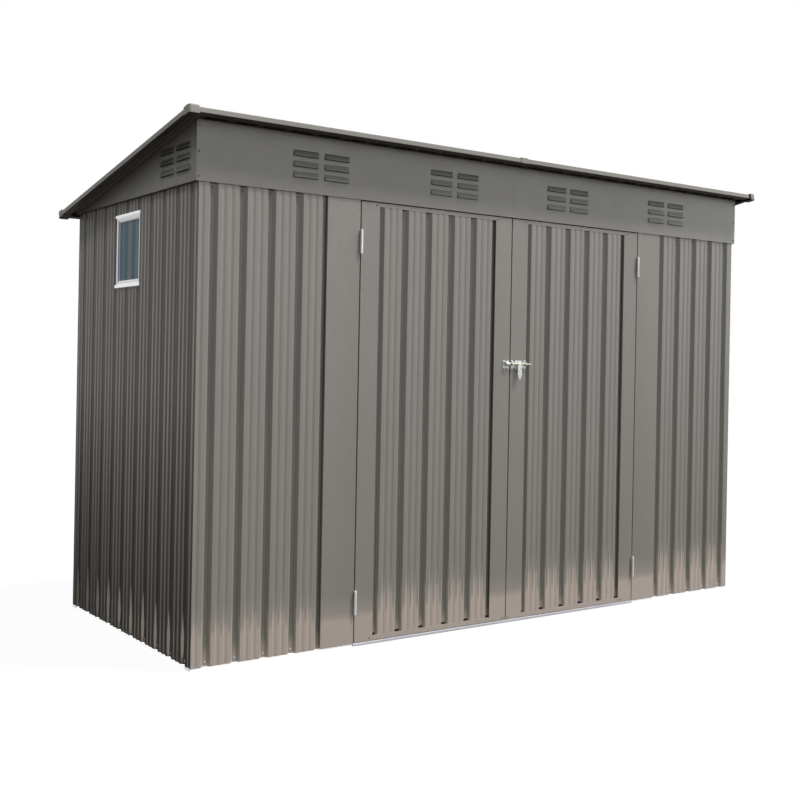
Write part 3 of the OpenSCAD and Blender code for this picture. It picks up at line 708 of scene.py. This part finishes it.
def panel(bm, us, vs, top, place, skip, t=0.8):
    """A flat sheet made of cells between us and vs, whose upper edge is top(u). skip(u, v) leaves a cell out."""
    cols = len(us)
    def lev(u):
        tp = top(u)
        return [min(v, tp - 0.5 * (len(vs) - k)) if v > tp - 0.5 * (len(vs) - k) else v for k, v in enumerate(vs)] + [tp]
    lv = [lev(u) for u in us]
    rows = len(lv[0])
    fr = [[bm.verts.new(place(us[i], lv[i][j], 0)) for i in range(cols)] for j in range(rows)]
    ba = [[bm.verts.new(place(us[i], lv[i][j], -t)) for i in range(cols)] for j in range(rows)]
    k = lambda i, j: 0 <= i < cols - 1 and 0 <= j < rows - 1 and not skip(i, j)
    for j in range(rows - 1):
        for i in range(cols - 1):
            if not k(i, j):
                continue
            bm.faces.new((fr[j][i], fr[j][i + 1], fr[j + 1][i + 1], fr[j + 1][i]))
            bm.faces.new((ba[j][i], ba[j + 1][i], ba[j + 1][i + 1], ba[j][i + 1]))
            if not k(i - 1, j):
                bm.faces.new((fr[j][i], fr[j + 1][i], ba[j + 1][i], ba[j][i]))
            if not k(i + 1, j):
                bm.faces.new((fr[j][i + 1], ba[j][i + 1], ba[j + 1][i + 1], fr[j + 1][i + 1]))
            if not k(i, j - 1):
                bm.faces.new((fr[j][i], ba[j][i], ba[j][i + 1], fr[j][i + 1]))
            if not k(i, j + 1):
                bm.faces.new((fr[j + 1][i], fr[j + 1][i + 1], ba[j + 1][i + 1], ba[j + 1][i]))
    for v in [v for v in bm.verts if not v.link_faces]:
        bm.verts.remove(v)


TAN = math.tan(ROOF_DEG)
DROP = (SHEET_DROP + GD + T + 1) / math.cos(ROOF_DEG)
FAS_TOP = ROOF_Z - TAN * (OVER_F - FAS_OUT) - DROP
FAS_Z = WALL_TOP + 54.5
for side, mx in (("left", 1), ("right", -1)):
    bm = bmesh.new()
    place = lambda u, v, w, mx=mx: Vector((mx * u, YF - FAS_OUT - w, v)) * MM
    holes_u = []
    for x in (-944, -314):
        for c in (-LV_L - LV_GAP / 2, LV_GAP / 2):
            holes_u.append((x + c, x + c + LV_L))
    us = sorted({-HW - GAB_OUT, -0.15, -HW + 120, -630.0} | {e for h in holes_u for e in h})
    vs = sorted({WALL_TOP} | {FAS_Z + r * LV_STEP for r in range(3)} | {FAS_Z + r * LV_STEP + LV_H for r in range(3)})
    def skip(i, j, us=us, vs=vs, holes_u=holes_u):
        if j >= len(vs) - 1:
            return False
        inu = any(a - 0.01 <= us[i] and us[i + 1] <= b + 0.01 for a, b in holes_u)
        inv = any(abs(vs[j] - (FAS_Z + r * LV_STEP)) < 0.01 for r in range(3))
        return inu and inv
    panel(bm, us, vs, lambda u: FAS_TOP, place, skip)
    for a, b in holes_u:
        for r in range(3):
            hood(bm, lambda u, v, w, a=a, r=r: place(a + u, FAS_Z + r * LV_STEP + v, w), LV_L, LV_H, LV_OUT)
    o = link(f"fascia_{side}_panel", bm, FASC, "shed", replaces=(f"fascia_{side}",), angle=40)
    shade_hoods(o, lambda p: YF - FAS_OUT - p.y, FAS_Z)
    bm = bmesh.new()
    def b3(x0, x1, y0, y1, z0, z1, bev=0.3, seg=2):
        box(bm, (min(mx * x0, mx * x1), y0, z0), (max(mx * x0, mx * x1), y1, z1), bev, seg)
    b3(-HW - GAB_OUT, -0.5, YF - FAS_OUT + 0.1, YF + 4, WALL_TOP, WALL_TOP + T)
    b3(-HW - GAB_OUT, -HW - GAB_OUT + T, YF - FAS_OUT + 0.1, YF - FAS_OUT + 14, WALL_TOP, FAS_TOP - 4)
    link(f"fascia_{side}_folds", bm, FASC, "shed")

GAB_Y0, GAB_Y1 = YF - FAS_OUT + 14.3, YB - 20
gable_top = lambda y: ROOF_Z - TAN * (y - YF + OVER_F) - DROP
GV_Y, GV_Z = YF + 165.5, WALL_TOP + 45
for side, mx in (("left", 1), ("right", -1)):
    bm = bmesh.new()
    place = lambda u, v, w, mx=mx: Vector((mx * (-HW - GAB_OUT - w), u, v)) * MM
    holes_u = sorted([(GV_Y - LV_GAP / 2 - LV_L, GV_Y - LV_GAP / 2), (GV_Y + LV_GAP / 2, GV_Y + LV_GAP / 2 + LV_L)])
    us = sorted({GAB_Y0, YF + 420, YF + 600, YF + 800, YF + 1000, GAB_Y1} | {e for h in holes_u for e in h})
    vs = sorted({WALL_TOP} | {GV_Z + r * LV_STEP for r in range(3)} | {GV_Z + r * LV_STEP + LV_H for r in range(3)})
    def skip(i, j, us=us, vs=vs, holes_u=holes_u):
        if j >= len(vs) - 1:
            return False
        inu = any(a - 0.01 <= us[i] and us[i + 1] <= b + 0.01 for a, b in holes_u)
        inv = any(abs(vs[j] - (GV_Z + r * LV_STEP)) < 0.01 for r in range(3))
        return inu and inv
    panel(bm, us, vs, gable_top, place, skip)
    for a, b in holes_u:
        for r in range(3):
            hood(bm, lambda u, v, w, a=a, r=r: place(a + u, GV_Z + r * LV_STEP + v, w), LV_L, LV_H, LV_OUT)
    o = link(f"gable_{side}_panel", bm, FASC, "shed", replaces=(f"gable_{side}",), angle=40)
    shade_hoods(o, lambda p: abs(p.x) - HW - GAB_OUT, GV_Z)
    bm = bmesh.new()
    xs = sorted((mx * (-HW - GAB_OUT), mx * (-HW + 4)))
    box(bm, (xs[0], GAB_Y0, WALL_TOP), (xs[1], GAB_Y1, WALL_TOP + T), 0.3)
    link(f"gable_{side}_fold", bm, FASC, "shed")


# ---------------------------------------------------------------- roof trims
def channel_line(d, h, c, hem=0):
    """Outer line of the edge channel, mouth towards +s, from the upper lip round to the lower one."""
    return fillet([(d, 0), (c * 0.5, 0), (0, -c * 0.5), (0, -h + 1), (1, -h), (d, -h)] + ([(d, -h - hem)] if hem else []), [0, 2.5, 2.5, 1.2, 1.2, 0.8 if hem else 0, 0], 5)


bm = bmesh.new()
strip(bm, channel_line(TRIM_D, TRIM_H, 4), 0.9, seg(-RX + 13, RX - 40.5, 16), lambda s, d, h: on_roof(h, CAP_OUT + s, d))
link("roof_trim_front_channel", bm, TRIM_R, "shed", replaces=("roof_trim_front",))
bm = bmesh.new()
strip(bm, channel_line(TRIM_D, TRIM_H, 4), 0.9, seg(-RX + 13, RX - 13, 16), lambda s, d, h: on_roof(h, ROOF_LEN - CAP_OUT - s, d))
link("roof_trim_back_channel", bm, TRIM_R, "shed", replaces=("roof_trim_back",))
bm = bmesh.new()
for mx in (1, -1):
    strip(bm, channel_line(TRIM_D, TRIM_H, 4, 3.0), 0.9, seg(CAP_OUT + TRIM_D + 0.5, ROOF_LEN - CAP_OUT - TRIM_D - 0.5, 8), lambda s, d, h, mx=mx: on_roof(mx * (-RX + s), h, d))
link("roof_trim_side_channels", bm, TRIM_R, "shed", replaces=("roof_trim_sides",))

# sleeves over the middle joints
bm = bmesh.new()
for fl in (0, 1):
    ln = fillet([(TRIM_D, 2.4), (-2.1, 2.4), (-2.1, -TRIM_H - 2.6), (TRIM_D, -TRIM_H - 2.6)], [0, 3, 3, 0], 5)
    strip(bm, ln, 1.9, [-19, -18.2, 0, 18.2, 19], lambda s, d, h, fl=fl: on_roof(h, (CAP_OUT + s) if not fl else (ROOF_LEN - CAP_OUT - s), d))
link("roof_trim_sleeves", bm, TRIM_R, "shed", replaces=("roof_trim_connectors",))

# corner caps: moulded, rounded at the outer corner and domed on top
def cap_plan(w=42):
    pts = []
    for cx, cy, r, a0 in ((11, 11, 11, 180), (w - 3, 3, 3, 270), (w - 3, 39, 3, 0), (3, 39, 3, 90)):
        n = 8 if r > 5 else 3
        for k in range(n + 1):
            a = math.radians(a0 + 90 * k / n)
            pts.append((cx + r * math.cos(a), cy + r * math.sin(a)))
    return pts


bm = bmesh.new()
LOFT = [(-26.0, 2.2), (-25.3, 0.8), (-24.2, 0.0), (-8.0, 0.0), (1.2, 0.0), (3.4, 0.5), (5.0, 1.8), (6.2, 4.0), (7.1, 7.5), (7.6, 12.0), (7.85, 17.0)]
for mx in (1, -1):
    for fl in (0, 1):
        def pl(x, y, z, mx=mx, fl=fl):
            return on_roof(mx * (-HW - OVER_S + x), y if not fl else ROOF_LEN - y, z)
        w = 31 if (mx, fl) == (-1, 0) else 42
        plan = cap_plan(w)
        rings = []
        for z, inset in LOFT:
            k = 1 - inset / 21
            rings.append([bm.verts.new(pl(w / 2 + (x - w / 2) * k, 21 + (y - 21) * k, z)) for x, y in plan])
        n = len(plan)
        for a_, b_ in zip(rings, rings[1:]):
            for i in range(n):
                bm.faces.new((a_[i], a_[(i + 1) % n], b_[(i + 1) % n], b_[i]))
        for ring, z in ((rings[0], -26.0), (rings[-1], 7.95)):
            c = bm.verts.new(pl(w / 2, 21, z))
            for i in range(n):
                bm.faces.new((ring[i], ring[(i + 1) % n], c))
link("roof_corner_cap_set", bm, CAP, "shed", replaces=("roof_corner_caps",), angle=50)
# painted shade: a near-black neck fills the gap between the short right front cap and the trim
bm = bmesh.new()
for x0, x1, y0, y1, z0, z1 in ((30.5, 43.5, 1.6, 38, -23.5, 2.2), (29.0, 31.5, 4.0, 38, -21.0, 0.5)):
    for v in box(bm, (x0, y0, z0), (x1, y1, z1), 1.2, 2):
        p = v.co / MM
        v.co = on_roof(HW + OVER_S - p.x, p.y, p.z)
link("roof_corner_cap_neck", bm, GAP, "shed")


# ---------------------------------------------------------------- window
bm = bmesh.new()
y0, y1, z0, z1 = YF + WIN_Y, YF + WIN_Y + WIN_W, WIN_Z, WIN_Z + WIN_H
xo = -HW - 2
for (a, b, c, d) in ((y0, y0 + 6, z0, z1), (y1 - 14, y1, z0, z1), (y0 + 5.5, y1 - 13.5, z1 - 12, z1), (y0 + 5.5, y1 - 13.5, z0, z0 + 12)):
    box(bm, (xo, a, c), (-HW + 24, b, d), 1.6, 3)
# inner sash, a step back
for (a, b, c, d) in ((y0 + 5, y0 + 12, z0 + 11, z1 - 11), (y1 - 16, y1 - 9, z0 + 11, z1 - 11), (y0 + 11.5, y1 - 15.5, z1 - 16, z1 - 11), (y0 + 11.5, y1 - 15.5, z0 + 11, z0 + 16)):
    box(bm, (-HW + 4, a, c), (-HW + 16, b, d), 1.0, 2)
link("window_frame_profile", bm, FRAME_SHADED, "shed", replaces=("window_frame",))
bm = bmesh.new()
box(bm, (-HW - 5.5, y0 - 8.5, z1 - 0.5), (-HW - 0.1, y1 + 8.5, z1 + 10.6), 1.8, 3)
box(bm, (-HW - 5.5, y0 - 8.5, z0 - 11.9), (-HW - 0.1, y1 + 8.5, z0 + 0.5), 1.8, 3)
link("window_head_and_sill", bm, WHITE, "shed")
set_mat("window_glass", PANE)


# ---------------------------------------------------------------- doors
for side, mx in (("left", 1), ("right", -1)):
    bm = bmesh.new()
    def b3(x0, x1, y0, y1, z0, z1, bev=0.35, seg=2):
        box(bm, (min(mx * x0, mx * x1), y0, z0), (max(mx * x0, mx * x1), y1, z1), bev, seg)
    ya, yb = YF - T, YF + 0.0
    dz0, dz1 = DOOR_Z0 - 1.5, DOOR_Z1 + 2.5
    b3(DX0, DX0 + STILE1, ya, yb, dz0, dz1)
    b3(DX1 - STILE2, DX1, ya, yb, dz0, dz1)
    b3(DX0 + STILE1 + 0.25, DX1 - STILE2 - 0.25, ya, yb, dz0, DOOR_Z0 + RAIL_LOW)
    b3(DX0 + STILE1 + 0.25, DX1 - STILE2 - 0.25, ya, yb, DOOR_Z1 - RAIL_TOP, dz1)
    # returns round the edge
    ye = YF + 20
    b3(DX0, DX0 + T, ya + 0.3, ye, dz0, dz1)
    b3(DX1 - T, DX1, ya + 0.3, ye, dz0, dz1)
    b3(DX0, DX1, ya + 0.3, ye, dz0, dz0 + T)
    b3(DX0, DX1, ya + 0.3, ye, dz1 - T, dz1)
    link(f"door_{side}_pan", bm, TRIM, f"door_{side}", replaces=(f"door_{side}_frame",))


# threshold: a low pale sill that the doors close over
bm = bmesh.new()
ln = fillet([(50, 1.4), (38.4, 1.4), (38.4, 9.5), (33, 11.5), (6, 11.5), (1, 10.8), (-1.5, 9.0), (-1.5, 2.0), (0.6, 1.4)], [0, 1, 1, 2, 2, 1.2, 1.2, 0.6, 0], 3)
strip(bm, ln, -0.9, seg(-764.5, 764.5, 12), lambda s_, d, h: Vector((h, YF + s_, d)) * MM)
link("door_sill_strip", bm, SILL, "shed", replaces=("door_threshold",))


# ---------------------------------------------------------------- hinges
HR = 5.4
for kind in ("frame", "left", "right"):
    bm = bmesh.new()
    for mx in ((1, -1) if kind == "frame" else ((1,) if kind == "left" else (-1,))):
        for zc in (165, 1526.5):
            x = mx * -SEAM
            if kind == "frame":
                za, zb = zc - 45, zc - 0.3
                lathe(bm, [(0, -1.6), (2.6, -1.4), (3.6, -0.4), (3.6, 0.0), (HR - 0.6, 0.0), (HR, 0.6), (HR, zb - za - 0.5), (HR - 0.5, zb - za), (0, zb - za)], (x, HINGE_Y, za), (0, 0, 1), 28)
                lf = (mx * (-SEAM - 2.5), mx * (-SEAM - 1.3))
                box(bm, (min(lf), HINGE_Y, za), (max(lf), HINGE_Y + 24, zb), 0.3)
            else:
                za, zb = zc + 0.3, zc + 45
                lathe(bm, [(0, 0), (HR - 0.5, 0), (HR, 0.5), (HR, zb - za - 0.6), (HR - 0.6, zb - za), (3.6, zb - za), (3.6, zb - za + 0.4), (2.6, zb - za + 1.4), (0, zb - za + 1.6)], (x, HINGE_Y, za), (0, 0, 1), 28)
                lf = (mx * (-SEAM + 1.3), mx * (-SEAM + 2.5))
                box(bm, (min(lf), HINGE_Y, za), (max(lf), HINGE_Y + 24, zb), 0.3)
    node = "hinge_frame_knuckles" if kind == "frame" else f"door_{kind}_knuckles"
    link(node + "_turned", bm, HINGE, "shed" if kind == "frame" else f"door_{kind}", replaces=(node,))


# ---------------------------------------------------------------- latch
def plate(bm, x0, x1, zc, y_face, notches, t=1.5, half=18.5):
    """A plate with rounded ends, notched between its screw ears, seen from the front."""
    pts = []
    def arc(cx, cz, r, a0, a1, n=6):
        for k in range(n + 1):
            a = math.radians(a0 + (a1 - a0) * k / n)
            pts.append((cx + r * math.cos(a), cz + r * math.sin(a)))
    r = 3.0
    arc(x1 - r, zc + half - r, r, 0, 90)
    for c in sorted(notches, reverse=True):
        arc(c, zc + half - 1.0, 6.4, 9, -189, 11)
    arc(x0 + r, zc + half - r, r, 90, 180)
    arc(x0 + r, zc - half + r, r, 180, 270)
    for c in sorted(notches):
        arc(c, zc - half + 1.0, 6.4, 189, -9, 11)
    arc(x1 - r, zc - half + r, r, 270, 360)
    fr = [bm.verts.new(Vector((x, y_face, z)) * MM) for x, z in pts]
    ba = [bm.verts.new(Vector((x, y_face + t, z)) * MM) for x, z in pts]
    for ring, back in ((fr, False), (ba, True)):
        tri = mg.tessellate_polygon([[Vector((x, z, 0)) for x, z in pts]])
        for t3 in tri:
            bm.faces.new([ring[i] for i in (reversed(t3) if back else t3)])
    n = len(pts)
    for k in range(n):
        bm.faces.new((fr[k], ba[k], ba[(k + 1) % n], fr[(k + 1) % n]))


def strap_mesh(bm, x0, x1, ri, zc, flange=6.0):
    """Half-round strap over the bolt with flat feet."""
    t = 1.4
    yp = YF - T - 1.5
    ro = ri + t
    line = [(-ro - flange, yp - t), (-ro, yp - t)]
    for k in range(13):
        a = math.pi * k / 12
        line.append((-ro * math.cos(a), BOLT_Y - ro * math.sin(a)))
    line += [(ro, yp - t), (ro + flange, yp - t)]
    ln = fillet([(p[0], p[1]) for p in line], [0, 1.0] + [0] * 13 + [1.0, 0], 3)
    strip(bm, ln, t, [x0, x0 + 0.3, x1 - 0.3, x1], lambda s, d, h: Vector((h, d, zc + s)) * MM)


YP = YF - T - 1.5
bm = bmesh.new()
plate(bm, -39, -7, BOLT_Z - 3.5, YP, (-23,))
strap_mesh(bm, -30, -9, 6.0, BOLT_Z, 4)
link("latch_keeper_pressing", bm, ZINC, "door_left", replaces=("latch_keeper",))
bm = bmesh.new()
plate(bm, 4, 87, BOLT_Z - 3.5, YP, (21, 70))
strap_mesh(bm, 4.5, 11, 4.4, BOLT_Z, 5)
strap_mesh(bm, 80, 86.5, 4.4, BOLT_Z, 5)
link("latch_plate_pressing", bm, ZINC, "door_right", replaces=("latch_plate",))
bm = bmesh.new()
lathe(bm, [(0, 0), (2.6, 0.2), (3.8, 1.6), (4.0, 3.0), (4.0, 107.2), (3.4, 108.4), (0, 109)], (3.5, BOLT_Y, BOLT_Z), (1, 0, 0), 28)
link("latch_bolt_rod", bm, BRASSY, "bolt", replaces=("latch_bolt",))
# handle: a ring on the rod and a tapered tab with two holes
bm = bmesh.new()
lathe(bm, [(4.1, 0), (5.6, 0), (6.0, 0.5), (6.0, 9.5), (5.6, 10), (4.1, 10), (4.1, 0)], (HX - 5, BOLT_Y, BOLT_Z), (1, 0, 0), 28)
out = fillet([(13, 0), (2.2, 22), (2.2, 60), (6.5, 66), (19.5, 66), (23.8, 60), (23.8, 22), (13, 0)], [0, 5, 3, 2, 2, 3, 5, 0], 4)[:-1]
loops = []
tab_y0, tab_y1 = BOLT_Y - 7.5, BOLT_Y - 5.7
def ring_pts(cx, cz, r, n=16):
    return [(cx + r * math.cos(2 * math.pi * k / n), cz + r * math.sin(2 * math.pi * k / n)) for k in range(n)]
polys = [[(HX - 13 + p.x, BOLT_Z - 68 + p.y) for p in out], ring_pts(HX, BOLT_Z - 33, 2.6)[::-1], ring_pts(HX, BOLT_Z - 49, 2.6)[::-1]]
flat = [p for poly in polys for p in poly]
tris = mg.tessellate_polygon([[Vector((x, z, 0)) for x, z in poly] for poly in polys])
fv = [bm.verts.new(Vector((x, tab_y0, z)) * MM) for x, z in flat]
bv = [bm.verts.new(Vector((x, tab_y1, z)) * MM) for x, z in flat]
for t3 in tris:
    bm.faces.new([fv[i] for i in t3])
    bm.faces.new([bv[i] for i in reversed(t3)])
base = 0
for poly in polys:
    n = len(poly)
    for k in range(n):
        a, b = base + k, base + (k + 1) % n
        bm.faces.new((fv[a], bv[a], bv[b], fv[b]))
    base += n
box(bm, (HX - 5, BOLT_Y - 6.5, BOLT_Z - 5), (HX + 5, BOLT_Y - 5.1, BOLT_Z - 0.4), 0.4)
link("latch_handle_tab", bm, ZINC, "bolt_handle", replaces=("latch_handle",))


# ---------------------------------------------------------------- screws
def screw(bm, p, n, r=3.8, washer=5.5):
    n = Vector(n).normalized()
    lathe(bm, [(0, -0.2), (washer, -0.2), (washer, 0.5), (washer - 0.5, 0.9), (r, 1.0), (r, 1.6), (r * 0.86, 2.5), (r * 0.5, 3.0), (r * 0.28, 3.05), (r * 0.2, 2.3), (0, 2.2)], p, n, 14)


groups = {}
def add_screw(group, p, n, r=3.8, washer=5.5):
    groups.setdefault(group, []).append((p, n, r, washer))


zb, zt = PANEL_Z0 + 14, WALL_TOP - 14
F = (0, -1, 0)
for k in range(4):
    for z, g in ((zb, "zinc"), (zt, "painted")):
        add_screw(g, (-HW + 58 + PITCH * k, YF + GD, z), F, 3.2, 4.6)
        add_screw(g, (HW - 614 + 102.5 + PITCH * (k + 1), YF + GD, z), F, 3.2, 4.6)
for k in range(10):
    for z, g in ((zb, "zinc"), (zt, "painted")):
        yy = YF + c_side + PITCH * k
        add_screw(g, (-HW + GD, yy, z), (-1, 0, 0), 3.2, 4.6)
        add_screw(g, (HW - GD, yy, z), (1, 0, 0), 3.2, 4.6)
for k in range(25):
    for z, g in ((zb, "zinc"), (zt, "painted")):
        add_screw(g, (HW - 52 - PITCH * k, YB - GD, z), (0, 1, 0), 3.2, 4.6)
for mx in (1, -1):
    for z in (1701, 1786, 1872):
        add_screw("painted", (mx * (-HW - GAB_OUT + 10), YF - FAS_OUT, z), F, 3.0, 4.2)
# roof: rows on the crowns over the rails
for mx in (1, -1):
    for k in range(13):
        xk = -12.5 * PITCH + 2 + PITCH * k + PITCH / 2
        if not -RX + 40 < xk < -20:
            continue
        for y in (TRIM_D + 60, ROOF_LEN / 2, ROOF_LEN - TRIM_D - 46):
            p = on_roof(mx * xk, y, -SHEET_DROP) / MM
            add_screw("roof", tuple(p), (0, math.sin(ROOF_DEG), math.cos(ROOF_DEG)), 3.6, 6.2)
for g, items in groups.items():
    bm = bmesh.new()
    for p, n, r, w in items:
        screw(bm, p, n, r, w)
    mat, sl = (SCREW, "latch_steel") if g == "zinc" else (SCREW_P, "trim_steel")
    if g == "roof":
        mat = SCREW
        sl = "latch_steel"
    link(f"screws_{g}", bm, mat, "shed", angle=35)
for side, mx in (("left", 1), ("right", -1)):
    bm = bmesh.new()
    for x, z in ((DX0 + STILE1 - 14, DOOR_Z0 + 9), (DX0 + STILE1 - 14, DOOR_Z1 - 8), (DX1 - 12, DOOR_Z0 + 7), (DX1 - STILE2 + 12, DOOR_Z1 - 8)):
        screw(bm, (mx * x, YF - T, z), F, 2.2, 3.0)
    link(f"door_{side}_rivets", bm, SCREW_P, f"door_{side}")
    bm = bmesh.new()
    pts = ((-34, 10.5), (-34, -17.5), (-12, 10.5), (-12, -17.5)) if side == "left" else ((9, 10.5), (9, -17.5), (82, 10.5), (82, -17.5), (45, -17.5))
    for x, dz in pts:
        screw(bm, (x, YP, BOLT_Z + dz), F, 2.4, 3.0)
    link(f"latch_screws_{side}", bm, SCREW, f"door_{side}")


# ---------------------------------------------------------------- stage, light and camera
def stage_material():
    """White for the camera with a faint contact shade, and dull for what it throws back on the walls."""
    m = bpy.data.materials.new("floor_pale")
    nt, nn, ll, bsdf = nodes_of(m)
    bsdf.inputs["Base Color"].default_value = (0.90, 0.90, 0.90, 1)
    bsdf.inputs["Roughness"].default_value = 0.9
    bsdf.inputs["Specular IOR Level"].default_value = 0.05
    glow = nn.new("ShaderNodeEmission")
    glow.inputs["Color"].default_value = (1, 1, 1, 1)
    glow.inputs["Strength"].default_value = 1.0
    seen = nn.new("ShaderNodeMixShader")
    tc = nn.new("ShaderNodeTexCoord")
    sep = nn.new("ShaderNodeSeparateXYZ")
    ll.new(tc.outputs["Object"], sep.inputs[0])
    ins = math_node(nt, "MULTIPLY", math_node(nt, "LESS_THAN", math_node(nt, "ABSOLUTE", sep.outputs["X"]), (HW - 5) * MM),
                    math_node(nt, "LESS_THAN", math_node(nt, "ABSOLUTE", math_node(nt, "SUBTRACT", sep.outputs["Y"], (YF + YB) / 2 * MM)), (D / 2 - 12) * MM))
    ll.new(math_node(nt, "MULTIPLY", math_node(nt, "SUBTRACT", 1.0, ins), FLOOR_GLOW), seen.inputs[0])
    ll.new(bsdf.outputs[0], seen.inputs[1])
    ll.new(glow.outputs[0], seen.inputs[2])
    dull = nn.new("ShaderNodeBsdfDiffuse")
    dull.inputs["Color"].default_value = (*FLOOR_BOUNCE, 1)
    lp = nn.new("ShaderNodeLightPath")
    mx = nn.new("ShaderNodeMixShader")
    ll.new(lp.outputs["Is Camera Ray"], mx.inputs[0])
    ll.new(dull.outputs[0], mx.inputs[1])
    ll.new(seen.outputs[0], mx.inputs[2])
    ll.new(mx.outputs[0], nn["Material Output"].inputs["Surface"])
    return m


FLOOR_GLOW, FLOOR_BOUNCE = 0.94, (0.10, 0.092, 0.082)
SKY_FRONT, SKY_BACK, SKY_BASE, SKY_LEFT, SKY_SIDE = 1.68, 1.45, 0.13, 0.42, 0.30
bm = bmesh.new()
S = 60.0
v = [bm.verts.new(p) for p in ((-S, -S, 0), (S, -S, 0), (S, S, 0), (-S, S, 0))]
bm.faces.new(v)
me = bpy.data.meshes.new("floor")
bm.to_mesh(me); bm.free()
floor = bpy.data.objects.new("floor", me)
floor.location.z = -0.0005
bpy.context.scene.collection.objects.link(floor)
me.materials.append(stage_material())

# studio dome: bright overhead and towards the front right, dim on the left and below the horizon
world = bpy.data.worlds.new("studio")
bpy.context.scene.world = world
world.use_nodes = True
wt = world.node_tree
wn, wl = wt.nodes, wt.links
tc = wn.new("ShaderNodeTexCoord")
sp = wn.new("ShaderNodeSeparateXYZ")
wl.new(tc.outputs["Generated"], sp.inputs[0])
elev = math_node(wt, "ADD", math_node(wt, "MULTIPLY", sp.outputs["Z"], 0.5), 0.5)
up = ramp(wt, elev, [(0.0, 0.03), (0.488, 0.04), (0.505, 0.80), (0.54, 1.0), (0.60, 1.0), (0.70, 0.80), (0.85, 0.50), (1.0, 0.42)])
def lobe(x, y, power):
    d = math_node(wt, "ADD", math_node(wt, "MULTIPLY", sp.outputs["X"], x), math_node(wt, "MULTIPLY", sp.outputs["Y"], y), clamp=True)
    return math_node(wt, "POWER", d, power)


lum = math_node(wt, "ADD", math_node(wt, "MULTIPLY", lobe(0.74, -0.67, 1.0), SKY_FRONT), SKY_BASE)
lum = math_node(wt, "ADD", lum, math_node(wt, "MULTIPLY", lobe(0.58, 0.81, 2.5), SKY_BACK))
lum = math_node(wt, "ADD", lum, math_node(wt, "MULTIPLY", lobe(-0.34, -0.94, 2.0), SKY_LEFT))
lum = math_node(wt, "ADD", lum, math_node(wt, "MULTIPLY", lobe(-0.99, 0.1, 3.0), SKY_SIDE))
lum = math_node(wt, "MULTIPLY", up, lum)
bg = wn["Background"]
bg.inputs["Color"].default_value = (0.98, 0.99, 1.0, 1)
wl.new(lum, bg.inputs["Strength"])
bg2 = wn.new("ShaderNodeBackground")
bg2.inputs["Color"].default_value = (1, 1, 1, 1)
bg2.inputs["Strength"].default_value = 1.0
lp = wn.new("ShaderNodeLightPath")
mx_ = wn.new("ShaderNodeMixShader")
wl.new(lp.outputs["Is Camera Ray"], mx_.inputs[0])
wl.new(bg.outputs[0], mx_.inputs[1])
wl.new(bg2.outputs[0], mx_.inputs[2])
wl.new(mx_.outputs[0], wn["World Output"].inputs["Surface"])

sun = bpy.data.lights.new("key", "SUN")
sun.energy = 3.0
sun.angle = math.radians(7)
sun.color = (1.0, 0.965, 0.92)
so = bpy.data.objects.new("key", sun)
bpy.context.scene.collection.objects.link(so)
to_sun = Vector((1.4, -1.0, 3.0)).normalized()
so.rotation_mode = "QUATERNION"
so.rotation_quaternion = to_sun.to_track_quat("Z", "Y")

fill = bpy.data.lights.new("fill", "SUN")
fill.energy = 1.35
fill.angle = math.radians(16)
fo = bpy.data.objects.new("fill", fill)
bpy.context.scene.collection.objects.link(fo)
fo.rotation_mode = "QUATERNION"
fo.rotation_quaternion = Vector((-0.55, 0.12, 0.95)).normalized().to_track_quat("Z", "Y")

cam = bpy.data.cameras.new("camera")
cam.sensor_width = 36
cam.lens = 49.37
cam.shift_x, cam.shift_y = 0.0535, -0.0476
cam.clip_start, cam.clip_end = 0.05, 200
co = bpy.data.objects.new("camera", cam)
bpy.context.scene.collection.objects.link(co)
yaw, pitch, roll = math.radians(34.189), math.radians(-0.028), math.radians(1.049)
d = Vector((math.sin(yaw) * math.cos(pitch), math.cos(yaw) * math.cos(pitch), math.sin(pitch)))
r1 = d.cross(Vector((0, 0, 1))).normalized()
u1 = r1.cross(d)
r2 = math.cos(roll) * r1 + math.sin(roll) * u1
u2 = -math.sin(roll) * r1 + math.cos(roll) * u1
rot = Matrix((r2, u2, -d)).transposed()
co.matrix_world = Matrix.Translation((-3.0884, -3.4173 + YF * MM, 1.0753)) @ rot.to_4x4()
bpy.context.scene.camera = co
bpy.context.scene.view_settings.view_transform = "Standard"
